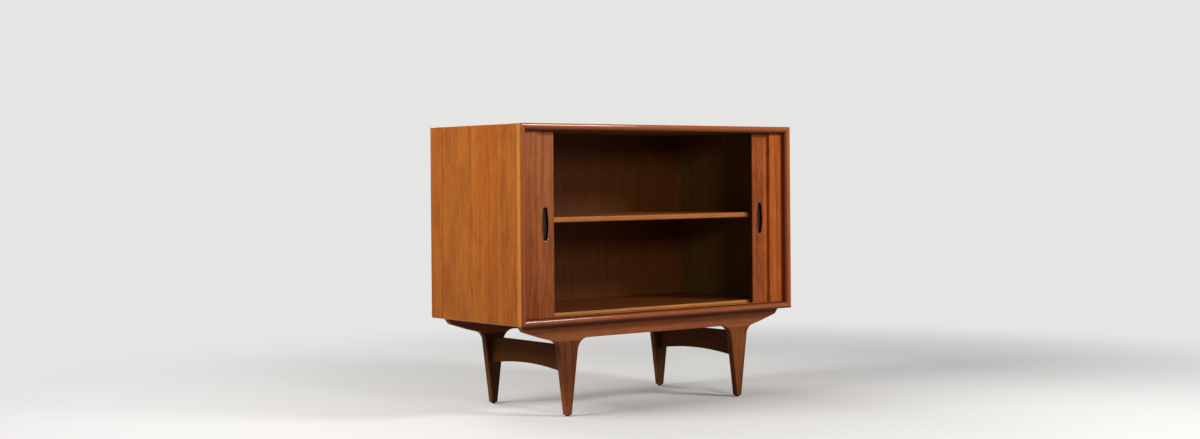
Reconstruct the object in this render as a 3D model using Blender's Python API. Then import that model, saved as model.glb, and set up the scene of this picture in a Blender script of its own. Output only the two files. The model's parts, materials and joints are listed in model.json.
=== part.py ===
"""Tambour door cabinet: a mitred teak case on two curved leg frames, with two sliding slatted curtains.

Units are metres. +Z is up, +X is to the right of someone facing the doors and +Y is to the back.
The origin is on the floor, under the middle of the case. The curtains are modelled fully open.
"""

import math

import bmesh
import bpy
from mathutils import Matrix, Vector

# Case
CASE_WIDTH = 1.000
CASE_DEPTH = 0.444
CASE_HEIGHT = 0.545
CASE_WALL = 0.020
BASE_HEIGHT = 0.257

# Crowned front edge of the case panels: how far it turns away from its crest, outwards and inwards
NOSE_OUTER_TURN = math.radians(36)
NOSE_INNER_TURN = math.radians(71)

# Rounding of the four mitred corners, seen from the front
CORNER_ROUND = 0.003
CORNER_STEPS = 3

# Fits shared by all pieces
SEAM = 0.0003
CUT_OVERRUN = 0.004

# Back panel, let into a rebate all round the back of the case
BACK_THICKNESS = 0.006
BACK_INSET = 0.002
REBATE_WIDTH = 0.010
REBATE_CLEARANCE = 0.0005

# Track that both curtains run in, measured at its centre line
TRACK_FRONT_SETBACK = 0.038
TRACK_SIDE_SETBACK = 0.036
TRACK_RADIUS = 0.032
TRACK_WIDTH = 0.009
TRACK_DEPTH = 0.008

# Slatted curtain
SLAT_PITCH = 0.0125
SLAT_GAP = 0.0008
SLAT_THICKNESS = 0.0062
SLAT_CROWN = 0.0016
CANVAS_THICKNESS = 0.0012
CURTAIN_START_GAP = 0.0005
CURTAIN_END_PLAY = 0.001
TRACK_PLAY = 0.001

# Lead stile, the solid free edge of each curtain
STILE_WIDTH = 0.064
STILE_THICKNESS = 0.016
STILE_ROUND = 0.003
STILE_END_CLEARANCE = 0.001
TONGUE_THICKNESS = 0.0075
TONGUE_INSET = 0.004
CANVAS_TUCK = 0.010

# Finger recess in each lead stile
PULL_LENGTH = 0.092
PULL_WIDTH = 0.0215
PULL_END_RADIUS = 0.0074
PULL_DEPTH = 0.010
PULL_FROM_FREE_EDGE = 0.030

# Fixed posts that hide the curved part of the track
POST_SETBACK = 0.020
POST_THICKNESS = 0.0095
POST_WIDTH = 0.050
POST_ROUND = 0.0015

# Inner walls, raised floor and shelf
PARTITION_INSET = 0.052
PARTITION_THICKNESS = 0.010
PARTITION_SETBACK = 0.054
PARTITION_ROUND = 0.003
FLOOR_SETBACK = 0.050
FLOOR_THICKNESS = 0.0075
FLOOR_ROUND = 0.001
SHELF_SETBACK = 0.052
SHELF_THICKNESS = 0.015
SHELF_ROUND = 0.004
SHELF_END_CLEARANCE = 0.0006
SHELF_BACK_CLEARANCE = 0.004
SHELF_HEIGHT_IN_CASE = 0.290
PIN_RADIUS = 0.003
PIN_LENGTH = 0.018
PIN_IN_WALL = 0.0085
PIN_FRONT_INSET = 0.045
PIN_BACK_INSET = 0.055

# Leg frames: one outline holds the rail, its two wings and both legs
FRAME_THICKNESS = 0.021
FRAME_FRONT_SETBACK = 0.036
FRAME_BACK_SETBACK = 0.029
WING_HALF_SPAN = 0.480
WING_END_IN = 0.014
WING_END_HEIGHT = 0.018
WING_END_ROUND = 0.006
WING_ROOT_HEIGHT = 0.0445
WING_ROOT_X = 0.372
WING_SAG = 0.0015
RAIL_HEIGHT = 0.0435
LEG_CENTRE_X = 0.3165
FOOT_WIDTH = 0.017
LEG_WIDTH_AT_RAIL = 0.0715
FOOT_ROUND = 0.004
OUTER_FILLET = 0.030
INNER_FILLET = 0.036
LEG_SEAT_DROP = 0.050
FRAME_EDGE_ROUND = 0.003

# Side stretchers, tenoned into the legs
STRETCHER_THICKNESS = 0.014
STRETCHER_CENTRE_X = 0.318
STRETCHER_TOP_DROP = 0.062
STRETCHER_END_HEIGHT = 0.075
STRETCHER_RISE = 0.013
STRETCHER_ROUND = 0.0025
TENON_THICKNESS = 0.008
TENON_LENGTH = 0.012
TENON_SHOULDER = 0.010

# Nail glides under the feet
GLIDE_RADIUS = 0.006
GLIDE_HEIGHT = 0.003
GLIDE_FLAT_RADIUS = 0.004
GLIDE_PIN_RADIUS = 0.0012
GLIDE_PIN_LENGTH = 0.014

# Screws up through each rail into the case
BASE_SCREW_X = 0.170
BASE_SCREW_SHANK = 0.0022
BASE_SCREW_HEAD = 0.0042
BASE_SCREW_HEAD_HEIGHT = 0.003
BASE_SCREW_BITE = 0.012
COUNTERBORE_RADIUS = 0.0055
COUNTERBORE_DEPTH = 0.020

# Screws that hold the back panel
BACK_SCREW_SHANK = 0.0015
BACK_SCREW_HEAD = 0.0035
BACK_SCREW_HEAD_DEPTH = 0.002
BACK_SCREW_BITE = 0.010
BACK_SCREW_EDGE = 0.005
BACK_SCREW_WIDTH_SHARE = 0.36
BACK_SCREW_HEIGHT_SHARE = 0.26
SCREW_CLEARANCE = 0.0003

# Facets
NOSE_STEPS = 12
ARC_STEPS = 10
EDGE_STEPS = 3
FILLET_FACET = 0.0045
TRACK_STEPS = 10
CROWN_STEPS = 4
PULL_STEPS = 8
ROUND_STEPS = 16
SHARP_ANGLE = math.radians(35)

# Places worked out from the sizes above
CASE_TOP = BASE_HEIGHT + CASE_HEIGHT
CASE_MIDDLE = BASE_HEIGHT + CASE_HEIGHT / 2
FRONT = -CASE_DEPTH / 2
BACK = CASE_DEPTH / 2
INSIDE_BOTTOM = BASE_HEIGHT + CASE_WALL
INSIDE_TOP = CASE_TOP - CASE_WALL
INSIDE_X = CASE_WIDTH / 2 - CASE_WALL
BACK_PANEL_FACE = BACK - BACK_INSET - BACK_THICKNESS
TRACK_Y = FRONT + TRACK_FRONT_SETBACK
TRACK_X = CASE_WIDTH / 2 - TRACK_SIDE_SETBACK
TRACK_STRAIGHT = TRACK_X - TRACK_RADIUS
STILE_OUTER_X = TRACK_STRAIGHT
STILE_INNER_X = STILE_OUTER_X - STILE_WIDTH
PARTITION_X = INSIDE_X + CASE_WALL - PARTITION_INSET - PARTITION_THICKNESS
CANVAS_LINE = (CANVAS_THICKNESS - SLAT_THICKNESS) / 2
TRACK_BEND = TRACK_RADIUS * math.pi / 2
CURTAIN_START = STILE_OUTER_X + CURTAIN_START_GAP
CURTAIN_LIMIT = TRACK_STRAIGHT + TRACK_BEND + BACK_PANEL_FACE - TRACK_Y - TRACK_RADIUS
SLAT_COUNT = int((CURTAIN_LIMIT - CURTAIN_END_PLAY - CURTAIN_START) / SLAT_PITCH)
BACK_SCREW_LENGTH = BACK_THICKNESS + BACK_SCREW_BITE
SHELF_TOP = BASE_HEIGHT + SHELF_HEIGHT_IN_CASE
SHELF_BOTTOM = SHELF_TOP - SHELF_THICKNESS
LEG_SEAT = BASE_HEIGHT - LEG_SEAT_DROP
FOOT_BOTTOM = GLIDE_HEIGHT + SEAM
FRONT_FRAME_Y = FRONT + FRAME_FRONT_SETBACK
BACK_FRAME_Y = BACK - FRAME_BACK_SETBACK - FRAME_THICKNESS

# Linear colour, roughness and metallic value of each finish
FINISHES = {
    "case_teak": ((0.47, 0.17, 0.045), 0.36, 0.0),
    "front_teak": ((0.31, 0.095, 0.030), 0.38, 0.0),
    "frame_teak": ((0.24, 0.075, 0.028), 0.36, 0.0),
    "inside_teak": ((0.20, 0.065, 0.026), 0.45, 0.0),
    "floor_teak": ((0.40, 0.16, 0.055), 0.40, 0.0),
    "back_ply": ((0.22, 0.10, 0.05), 0.60, 0.0),
    "slat_teak": ((0.30, 0.095, 0.032), 0.40, 0.0),
    "pin_brass": ((0.56, 0.41, 0.16), 0.32, 1.0),
    "screw_steel": ((0.42, 0.41, 0.39), 0.35, 1.0),
    "glide_steel": ((0.03, 0.028, 0.026), 0.40, 1.0),
}


def clear_scene():
    for obj in list(bpy.data.objects):
        bpy.data.objects.remove(obj, do_unlink=True)


def finish(name):
    """The material of one finish, made the first time that it is asked for."""
    material = bpy.data.materials.get(name)
    if material is None:
        colour, roughness, metallic = FINISHES[name]
        material = bpy.data.materials.new(name)
        material.use_nodes = True
        shader = material.node_tree.nodes["Principled BSDF"]
        shader.inputs["Base Color"].default_value = (*colour, 1.0)
        shader.inputs["Roughness"].default_value = roughness
        shader.inputs["Metallic"].default_value = metallic
    return material


def add_group(name, at):
    """An empty that carries the pieces of one assembly."""
    group = bpy.data.objects.new(name, None)
    bpy.context.scene.collection.objects.link(group)
    group.location = at
    bpy.context.view_layer.update()
    return group


def add_piece(name, bm, material, at, group, turn=0):
    """Turns a bmesh drawn around its own origin into an object at the given world place."""
    bmesh.ops.recalc_face_normals(bm, faces=bm.faces)
    mesh = bpy.data.meshes.new(name)
    bm.to_mesh(mesh)
    bm.free()
    mesh.shade_smooth()
    mesh.set_sharp_from_angle(angle=SHARP_ANGLE)
    mesh.materials.append(finish(material))
    obj = bpy.data.objects.new(name, mesh)
    bpy.context.scene.collection.objects.link(obj)
    obj.parent = group
    obj.location = Vector(at) - group.location
    obj.rotation_euler = (0, turn, 0)
    return obj


def add_cutter(name, bm):
    """A hidden solid, in world places, for a Boolean modifier."""
    bmesh.ops.recalc_face_normals(bm, faces=bm.faces)
    mesh = bpy.data.meshes.new(name)
    bm.to_mesh(mesh)
    bm.free()
    cutter = bpy.data.objects.new(name, mesh)
    bpy.context.scene.collection.objects.link(cutter)
    cutter.hide_render = True
    cutter.display_type = "WIRE"
    return cutter


def combine(obj, other, operation):
    modifier = obj.modifiers.new(other.name, "BOOLEAN")
    modifier.operation = operation
    modifier.solver = "EXACT"
    modifier.object = other


def arc(centre, radius, start, end, steps):
    """Points on an arc from one angle to another, both ends included."""
    turns = [start + (end - start) * step / steps for step in range(steps + 1)]
    return [(centre[0] + radius * math.cos(a), centre[1] + radius * math.sin(a)) for a in turns]


def fillet(before, corner, after, radius):
    """The arc that rounds a corner between its two neighbours, in facets of about one length."""
    corner = Vector(corner)
    back = (Vector(before) - corner).normalized()
    ahead = (Vector(after) - corner).normalized()
    half = back.angle(ahead) / 2
    centre = corner + (back + ahead).normalized() * (radius / math.sin(half))
    first = corner + back * (radius / math.tan(half)) - centre
    last = corner + ahead * (radius / math.tan(half)) - centre
    start = math.atan2(first.y, first.x)
    turn = math.atan2(last.y, last.x) - start
    turn = (turn + math.pi) % math.tau - math.pi
    steps = max(EDGE_STEPS, round(radius * abs(turn) / FILLET_FACET))
    return arc(centre, radius, start, start + turn, steps)


def rounded_outline(corners):
    """A closed outline from corners (x, y, radius), with an arc at each corner that has a radius."""
    points = []
    for index, (x, y, radius) in enumerate(corners):
        if radius == 0:
            points.append((x, y))
            continue
        before = corners[index - 1][:2]
        after = corners[(index + 1) % len(corners)][:2]
        points.extend(fillet(before, (x, y), after, radius))
    return points


def front_view(point):
    return point[0], 0, point[1]


def side_view(point):
    return 0, point[0], point[1]


def plan_view(point):
    return point[0], point[1], 0


def prism(points, view, travel):
    """Pulls an outline, drawn in one view, along a straight line into a solid."""
    bm = bmesh.new()
    face = bm.faces.new([bm.verts.new(view(point)) for point in points])
    pulled = bmesh.ops.extrude_face_region(bm, geom=[face])
    corners = [item for item in pulled["geom"] if isinstance(item, bmesh.types.BMVert)]
    bmesh.ops.translate(bm, verts=corners, vec=Vector(travel))
    bmesh.ops.recalc_face_normals(bm, faces=bm.faces)
    return bm


def box(low, high):
    """A plain block between two opposite corners."""
    bm = bmesh.new()
    bmesh.ops.create_cube(bm, size=1)
    size = Vector(high) - Vector(low)
    bmesh.ops.scale(bm, vec=size, verts=bm.verts)
    bmesh.ops.translate(bm, vec=(Vector(high) + Vector(low)) / 2, verts=bm.verts)
    return bm


def move(bm, offset):
    bmesh.ops.translate(bm, vec=Vector(offset), verts=bm.verts)
    return bm


def join(first, second):
    """Adds the second bmesh to the first, as a separate body."""
    mesh = bpy.data.meshes.new("joined")
    second.to_mesh(mesh)
    second.free()
    first.from_mesh(mesh)
    bpy.data.meshes.remove(mesh)
    return first


def saw(bm, point, normal):
    """Cuts off everything on the side that the normal points to, and closes the cut."""
    geometry = bm.verts[:] + bm.edges[:] + bm.faces[:]
    bmesh.ops.bisect_plane(
        bm, geom=geometry, plane_co=Vector(point), plane_no=Vector(normal), clear_outer=True
    )
    bmesh.ops.holes_fill(bm, edges=[edge for edge in bm.edges if edge.is_boundary])
    return bm


def round_edges(bm, edges, radius, steps=EDGE_STEPS):
    bmesh.ops.bevel(
        bm,
        geom=list(edges),
        offset=radius,
        segments=steps,
        profile=0.5,
        affect="EDGES",
        clamp_overlap=True,
        material=-1,
    )
    return bm


def turned(profile, steps=ROUND_STEPS):
    """Turns a profile of (radius, height) pairs about the Z axis. Its first and last radius are zero."""
    bm = bmesh.new()
    verts = [bm.verts.new((radius, 0, height)) for radius, height in profile]
    edges = [bm.edges.new(pair) for pair in zip(verts, verts[1:])]
    bmesh.ops.spin(
        bm,
        geom=verts + edges,
        cent=(0, 0, 0),
        axis=(0, 0, 1),
        angle=math.tau,
        steps=steps,
        use_merge=True,
    )
    bmesh.ops.remove_doubles(bm, verts=bm.verts, dist=SEAM / steps)
    bmesh.ops.recalc_face_normals(bm, faces=bm.faces)
    return bm


def rod(radius, start, end, steps=ROUND_STEPS):
    """A plain round bar between two points."""
    start = Vector(start)
    along = Vector(end) - start
    bm = turned([(0, 0), (radius, 0), (radius, along.length), (0, along.length)], steps)
    turn = Vector((0, 0, 1)).rotation_difference(along).to_matrix().to_4x4()
    bmesh.ops.transform(bm, matrix=Matrix.Translation(start) @ turn, verts=bm.verts)
    return bm


def along_track(distance):
    """A point on the right half of the track's centre line, its direction there and its outward normal.

    The distance is measured along the line from the middle of the cabinet.
    """
    past = distance - TRACK_STRAIGHT
    angle = min(max(past / TRACK_RADIUS, 0), math.pi / 2)
    along = Vector((math.cos(angle), math.sin(angle)))
    outward = Vector((math.sin(angle), -math.cos(angle)))
    bend_centre = Vector((TRACK_STRAIGHT, TRACK_Y + TRACK_RADIUS))
    straight = min(past, 0) + max(past - TRACK_BEND, 0)
    return bend_centre + outward * TRACK_RADIUS + along * straight, along, outward


def slat_outline(distance):
    """Plan of one slat, on the outer side of the canvas."""
    middle, along, outward = along_track(distance)
    reach = (SLAT_PITCH - SLAT_GAP) / 2
    shares = [step / CROWN_STEPS * 2 - 1 for step in range(CROWN_STEPS + 1)]
    crown = [(share, SLAT_THICKNESS - SLAT_CROWN * share**2) for share in shares]
    return [
        middle + along * reach * share + outward * (CANVAS_LINE + height)
        for share, height in [(-1, 0)] + crown + [(1, 0)]
    ]


def curtain_outline():
    """Plan of the right curtain: a strip of canvas round the bend, tucked into the stile, and its slats."""
    start, _, outward = along_track(CURTAIN_START)
    tuck = Vector((CANVAS_TUCK, 0))
    slats = [start + outward * CANVAS_LINE - tuck, start + outward * CANVAS_LINE]
    canvas = [start + outward * (CANVAS_LINE - CANVAS_THICKNESS) - tuck]
    for index in range(SLAT_COUNT * 2 + 1):
        distance = CURTAIN_START + index * SLAT_PITCH / 2
        point, _, outward = along_track(distance)
        canvas.append(point + outward * (CANVAS_LINE - CANVAS_THICKNESS))
        if index % 2:
            slats.extend(slat_outline(distance))
    return [tuple(point) for point in slats + canvas[::-1]]


def track_side(offset):
    """The right half of one wall of the track, from the middle of the front out through the back."""
    centre = (TRACK_STRAIGHT, TRACK_Y + TRACK_RADIUS)
    bend = arc(centre, TRACK_RADIUS + offset, -math.pi / 2, 0, TRACK_STEPS)
    return bend + [(TRACK_X + offset, BACK + CUT_OVERRUN)]


def track_cutter(name, low, high):
    """A U-shaped band that cuts the whole track into one panel, open at the back to take the curtains."""
    outer = track_side(TRACK_WIDTH / 2)
    inner = track_side(-TRACK_WIDTH / 2)
    right = outer + inner[::-1]
    left = [(-x, y) for x, y in right[::-1]]
    bm = prism(right + left, plan_view, (0, 0, high - low))
    return add_cutter(name, move(bm, (0, 0, low)))


def panel_section():
    """Side view of a case panel: crowned nose in front, fuller inwards, and rebate for the back panel behind."""
    outer, inner = math.sin(NOSE_OUTER_TURN), math.sin(NOSE_INNER_TURN)
    radius = CASE_WALL / (outer + inner)
    centre = (FRONT + radius, -radius * outer)
    front = arc(centre, radius, math.pi - NOSE_OUTER_TURN, math.pi + NOSE_INNER_TURN, NOSE_STEPS)
    rebate_y = BACK_PANEL_FACE
    rebate_z = REBATE_WIDTH - CASE_WALL
    return front + [(rebate_y, -CASE_WALL), (rebate_y, rebate_z), (BACK, rebate_z), (BACK, 0)]


def mitred_panel(name, length, at, turn, group):
    """One of the four case panels. It is drawn as the top, mitred, rounded at its ends and turned about Y."""
    bm = prism(panel_section(), side_view, (length, 0, 0))
    move(bm, (-length / 2, 0, 0))
    for side in (-1, 1):
        normal = Vector((side, 0, -1)).normalized()
        corner = Vector((side * length / 2, 0, 0))
        saw(bm, corner - normal * SEAM / 2, normal)
        centre = corner - Vector((side, 0, 1)) * CORNER_ROUND
        for step in range(1, CORNER_STEPS + 1):
            lean = math.pi / 4 * step / CORNER_STEPS
            facing = Vector((side * math.sin(lean), 0, math.cos(lean)))
            saw(bm, centre + facing * CORNER_ROUND, facing)
    return add_piece(name, bm, "case_teak", at, group, turn)


def back_screw_places():
    """World X and Z of each back screw, and the name of the panel that it bites into."""
    edge_x = CASE_WIDTH / 2 - CASE_WALL + BACK_SCREW_EDGE
    edge_z = CASE_HEIGHT / 2 - CASE_WALL + BACK_SCREW_EDGE
    across = CASE_WIDTH * BACK_SCREW_WIDTH_SHARE
    upright = CASE_HEIGHT * BACK_SCREW_HEIGHT_SHARE
    places = []
    for panel, side in (("bottom_panel", -1), ("top_panel", 1)):
        for step in (-1, 0, 1):
            places.append((step * across, CASE_MIDDLE + side * edge_z, panel))
    for panel, side in (("left_side", -1), ("right_side", 1)):
        for step in (-1, 1):
            places.append((side * edge_x, CASE_MIDDLE + step * upright, panel))
    return places


def build_case(group):
    """Four mitred panels with their track, screw holes and rebate, and the back panel."""
    panels = {
        "top_panel": mitred_panel("top_panel", CASE_WIDTH, (0, 0, CASE_TOP), 0, group),
        "bottom_panel": mitred_panel("bottom_panel", CASE_WIDTH, (0, 0, BASE_HEIGHT), math.pi, group),
        "left_side": mitred_panel(
            "left_side", CASE_HEIGHT, (-CASE_WIDTH / 2, 0, CASE_MIDDLE), -math.pi / 2, group
        ),
        "right_side": mitred_panel(
            "right_side", CASE_HEIGHT, (CASE_WIDTH / 2, 0, CASE_MIDDLE), math.pi / 2, group
        ),
    }
    low = INSIDE_BOTTOM - TRACK_DEPTH
    combine(panels["bottom_panel"], track_cutter("lower_track", low, INSIDE_BOTTOM + CUT_OVERRUN), "DIFFERENCE")
    high = INSIDE_TOP + TRACK_DEPTH
    combine(panels["top_panel"], track_cutter("upper_track", INSIDE_TOP - CUT_OVERRUN, high), "DIFFERENCE")
    build_back(panels, group)
    return panels


def build_back(panels, group):
    """The back panel with countersunk holes, its screws and the pilot holes behind them."""
    half_width = INSIDE_X + REBATE_WIDTH - REBATE_CLEARANCE
    half_height = CASE_HEIGHT / 2 - CASE_WALL + REBATE_WIDTH - REBATE_CLEARANCE
    outside = BACK - BACK_INSET
    sheet = box(
        (-half_width, BACK_PANEL_FACE + SEAM, CASE_MIDDLE - half_height),
        (half_width, outside, CASE_MIDDLE + half_height),
    )
    at = Vector((0, outside, CASE_MIDDLE))
    back = add_piece("back_panel", move(sheet, -at), "back_ply", at, group)
    places = back_screw_places()
    head = BACK_SCREW_HEAD + SCREW_CLEARANCE
    shank = BACK_SCREW_SHANK + SCREW_CLEARANCE
    through = BACK_THICKNESS + CUT_OVERRUN
    bottom = BACK_SCREW_LENGTH + SCREW_CLEARANCE
    hole = [
        (0, CUT_OVERRUN),
        (head, CUT_OVERRUN),
        (head, 0),
        (shank, -BACK_SCREW_HEAD_DEPTH - SCREW_CLEARANCE),
        (shank, -through),
        (0, -through),
    ]
    pilot = [(0, CUT_OVERRUN), (shank, CUT_OVERRUN), (shank, -bottom), (0, -bottom)]
    screw = [
        (0, 0),
        (BACK_SCREW_HEAD, 0),
        (BACK_SCREW_SHANK, -BACK_SCREW_HEAD_DEPTH),
        (BACK_SCREW_SHANK, BACK_SCREW_SHANK * 2 - BACK_SCREW_LENGTH),
        (0, -BACK_SCREW_LENGTH),
    ]
    facing_back = Matrix.Rotation(-math.pi / 2, 4, "X")
    holes = bmesh.new()
    pilots = {name: bmesh.new() for name in panels}
    for number, (x, z, panel) in enumerate(places, start=1):
        at = Vector((x, outside, z))
        place = Matrix.Translation(at) @ facing_back
        for profile, target in ((hole, holes), (pilot, pilots[panel])):
            cut = turned(profile[::-1])
            bmesh.ops.transform(cut, matrix=place, verts=cut.verts)
            join(target, cut)
        body = turned(screw[::-1])
        bmesh.ops.transform(body, matrix=facing_back, verts=body.verts)
        add_piece(f"back_screw_{number:02d}", body, "screw_steel", at, group)
    combine(back, add_cutter("back_screw_holes", holes), "DIFFERENCE")
    for name, panel in panels.items():
        combine(panel, add_cutter(f"{name}_pilot_holes", pilots[name]), "DIFFERENCE")


def build_posts(group):
    """Fixed uprights at both sides of the opening."""
    outer = INSIDE_X - SEAM
    inner = INSIDE_X - POST_WIDTH
    front = FRONT + POST_SETBACK
    height = INSIDE_TOP - INSIDE_BOTTOM - SEAM * 2
    for name, side in (("left_front_post", -1), ("right_front_post", 1)):
        outline = rounded_outline(
            [
                (side * outer, front, 0),
                (side * inner, front, POST_ROUND),
                (side * inner, front + POST_THICKNESS, 0),
                (side * outer, front + POST_THICKNESS, 0),
            ]
        )
        bm = prism(outline, plan_view, (0, 0, height))
        at = Vector((side * inner, front, INSIDE_BOTTOM + SEAM))
        add_piece(name, move(bm, (-at.x, -at.y, 0)), "front_teak", at, group)


def pin_places():
    """World Y of the front and back shelf pins."""
    return {
        "front": FRONT + SHELF_SETBACK + PIN_FRONT_INSET,
        "back": BACK_PANEL_FACE - PIN_BACK_INSET,
    }


def build_partitions(group):
    """Inner walls that close off the curtain pockets, with blind holes for the shelf pins."""
    front = FRONT + PARTITION_SETBACK
    height = INSIDE_TOP - INSIDE_BOTTOM - SEAM * 2
    pin_z = SHELF_BOTTOM - SEAM - PIN_RADIUS
    for name, side in (("left_partition", -1), ("right_partition", 1)):
        inner = side * PARTITION_X
        outer = side * (PARTITION_X + PARTITION_THICKNESS)
        outline = rounded_outline(
            [
                (inner, front, PARTITION_ROUND),
                (outer, front, PARTITION_ROUND),
                (outer, BACK_PANEL_FACE, 0),
                (inner, BACK_PANEL_FACE, 0),
            ]
        )
        bm = prism(outline, plan_view, (0, 0, height))
        at = Vector((inner, front, INSIDE_BOTTOM + SEAM))
        wall = add_piece(name, move(bm, (-at.x, -at.y, 0)), "inside_teak", at, group)
        holes = bmesh.new()
        for y in pin_places().values():
            bottom = inner + side * (PIN_IN_WALL + SEAM)
            mouth = inner - side * CUT_OVERRUN
            join(holes, rod(PIN_RADIUS + SEAM, (bottom, y, pin_z), (mouth, y, pin_z)))
        combine(wall, add_cutter(f"{name}_pin_holes", holes), "DIFFERENCE")


def build_pins(group):
    """Four plain pins under the shelf."""
    pin_z = SHELF_BOTTOM - SEAM - PIN_RADIUS
    for side_name, side in (("left", -1), ("right", 1)):
        for end_name, y in pin_places().items():
            start = Vector((side * (PARTITION_X + PIN_IN_WALL), y, pin_z))
            end = start - Vector((side * PIN_LENGTH, 0, 0))
            bm = rod(PIN_RADIUS, (0, 0, 0), end - start)
            add_piece(f"shelf_pin_{side_name}_{end_name}", bm, "pin_brass", start, group)


def board(name, material, half_width, front, back, low, thickness, radius, group):
    """A level board with its front edges rounded over."""
    outline = rounded_outline(
        [
            (front, low, radius),
            (back, low, 0),
            (back, low + thickness, 0),
            (front, low + thickness, radius),
        ]
    )
    bm = prism(outline, side_view, (half_width * 2, 0, 0))
    at = Vector((0, front, low))
    return add_piece(name, move(bm, (-half_width, -front, -low)), material, at, group)


def build_inside(group, shelf_group):
    """Raised floor between the inner walls, and the loose shelf."""
    half = PARTITION_X - SEAM
    front = FRONT + FLOOR_SETBACK
    low = INSIDE_BOTTOM + SEAM
    board("interior_floor", "floor_teak", half, front, BACK_PANEL_FACE, low, FLOOR_THICKNESS, FLOOR_ROUND, group)
    half = PARTITION_X - SHELF_END_CLEARANCE
    front = FRONT + SHELF_SETBACK
    back = BACK_PANEL_FACE - SHELF_BACK_CLEARANCE
    board("shelf", "front_teak", half, front, back, SHELF_BOTTOM, SHELF_THICKNESS, SHELF_ROUND, shelf_group)


def pull_outline():
    """Boat-shaped front view of the finger recess, around its own middle."""
    straight = PULL_LENGTH / 2 - PULL_END_RADIUS
    swell = PULL_WIDTH / 2 - PULL_END_RADIUS
    side = []
    for step in range(1, PULL_STEPS):
        height = straight * (step / PULL_STEPS * 2 - 1)
        width = PULL_END_RADIUS + swell * math.cos(math.pi / 2 * height / straight)
        side.append((width, height))
    top = arc((0, straight), PULL_END_RADIUS, 0, math.pi, PULL_STEPS)
    other = [(-width, height) for width, height in side[::-1]]
    bottom = arc((0, -straight), PULL_END_RADIUS, math.pi, math.tau, PULL_STEPS)
    return side + top + other + bottom


def build_stile(name, side, group):
    """Lead stile with tongues for the track, a kerf for the canvas and a finger recess in its face."""
    front = TRACK_Y - STILE_THICKNESS / 2
    back = TRACK_Y + STILE_THICKNESS / 2
    free = side * STILE_INNER_X
    tail = side * STILE_OUTER_X
    outline = rounded_outline(
        [
            (free, front, STILE_ROUND),
            (tail, front, 0),
            (tail, back, 0),
            (free, back, STILE_ROUND),
        ]
    )
    low = INSIDE_BOTTOM + STILE_END_CLEARANCE
    high = INSIDE_TOP - STILE_END_CLEARANCE
    at = Vector((free, TRACK_Y, low))
    bm = prism(outline, plan_view, (0, 0, high - low))
    stile = add_piece(name, move(bm, (-at.x, -at.y, 0)), "front_teak", at, group)

    reach = TRACK_DEPTH - TRACK_PLAY
    tongue_x = sorted((free + side * TONGUE_INSET, tail - side * TONGUE_INSET))
    tongue = box(
        (tongue_x[0], TRACK_Y - TONGUE_THICKNESS / 2, INSIDE_BOTTOM - reach),
        (tongue_x[1], TRACK_Y + TONGUE_THICKNESS / 2, INSIDE_TOP + reach),
    )
    combine(stile, add_cutter(f"{name}_tongues", tongue), "UNION")

    kerf_x = sorted((tail - side * (CANVAS_TUCK + SEAM), tail + side * CUT_OVERRUN))
    kerf = box(
        (kerf_x[0], TRACK_Y - CANVAS_LINE - SEAM, INSIDE_BOTTOM - TRACK_DEPTH),
        (kerf_x[1], TRACK_Y - CANVAS_LINE + CANVAS_THICKNESS + SEAM, INSIDE_TOP + TRACK_DEPTH),
    )
    combine(stile, add_cutter(f"{name}_kerf", kerf), "DIFFERENCE")

    pull = prism(pull_outline(), front_view, (0, PULL_DEPTH + CUT_OVERRUN, 0))
    pull_x = side * (STILE_INNER_X + PULL_FROM_FREE_EDGE)
    move(pull, (pull_x, front - CUT_OVERRUN, CASE_MIDDLE))
    combine(stile, add_cutter(f"{name}_recess", pull), "DIFFERENCE")


def build_curtain(name, side, group):
    """Slats glued to canvas, standing in the track from the stile round into the pocket."""
    reach = TRACK_DEPTH - TRACK_PLAY
    low = INSIDE_BOTTOM - reach
    high = INSIDE_TOP + reach
    outline = [(side * x, y) for x, y in curtain_outline()]
    bm = prism(outline, plan_view, (0, 0, high - low))
    at = Vector((side * STILE_INNER_X, TRACK_Y, low))
    add_piece(name, move(bm, (-at.x, -at.y, 0)), "slat_teak", at, group)


def frame_corners():
    """Right half of the leg frame in front view, as corners (x, z, radius), from the top middle round."""
    lean = (LEG_WIDTH_AT_RAIL - FOOT_WIDTH) / 2
    drop = BASE_HEIGHT - RAIL_HEIGHT - FOOT_BOTTOM
    inner_foot = (LEG_CENTRE_X - FOOT_WIDTH / 2, FOOT_BOTTOM)
    outer_foot = (LEG_CENTRE_X + FOOT_WIDTH / 2, FOOT_BOTTOM)
    rail_bottom = BASE_HEIGHT - RAIL_HEIGHT
    inner_top = (inner_foot[0] - lean, rail_bottom)
    wing_root = (WING_ROOT_X, BASE_HEIGHT - WING_ROOT_HEIGHT)
    wing_end = (WING_HALF_SPAN - WING_END_IN, BASE_HEIGHT - WING_END_HEIGHT)
    slope = (wing_end[1] - wing_root[1]) / (wing_end[0] - wing_root[0])
    lean_slope = lean / drop
    rise = wing_root[1] - slope * (wing_root[0] - outer_foot[0]) - FOOT_BOTTOM
    height = rise / (1 - slope * lean_slope)
    outer_top = (outer_foot[0] + lean_slope * height, FOOT_BOTTOM + height)
    middle = ((outer_top[0] + wing_end[0]) / 2, (outer_top[1] + wing_end[1]) / 2 - WING_SAG)
    return [
        (WING_HALF_SPAN, BASE_HEIGHT - SEAM, 0),
        (*wing_end, WING_END_ROUND),
        (*middle, 0),
        (*outer_top, OUTER_FILLET),
        (*outer_foot, FOOT_ROUND),
        (*inner_foot, FOOT_ROUND),
        (*inner_top, INNER_FILLET),
    ]


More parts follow.
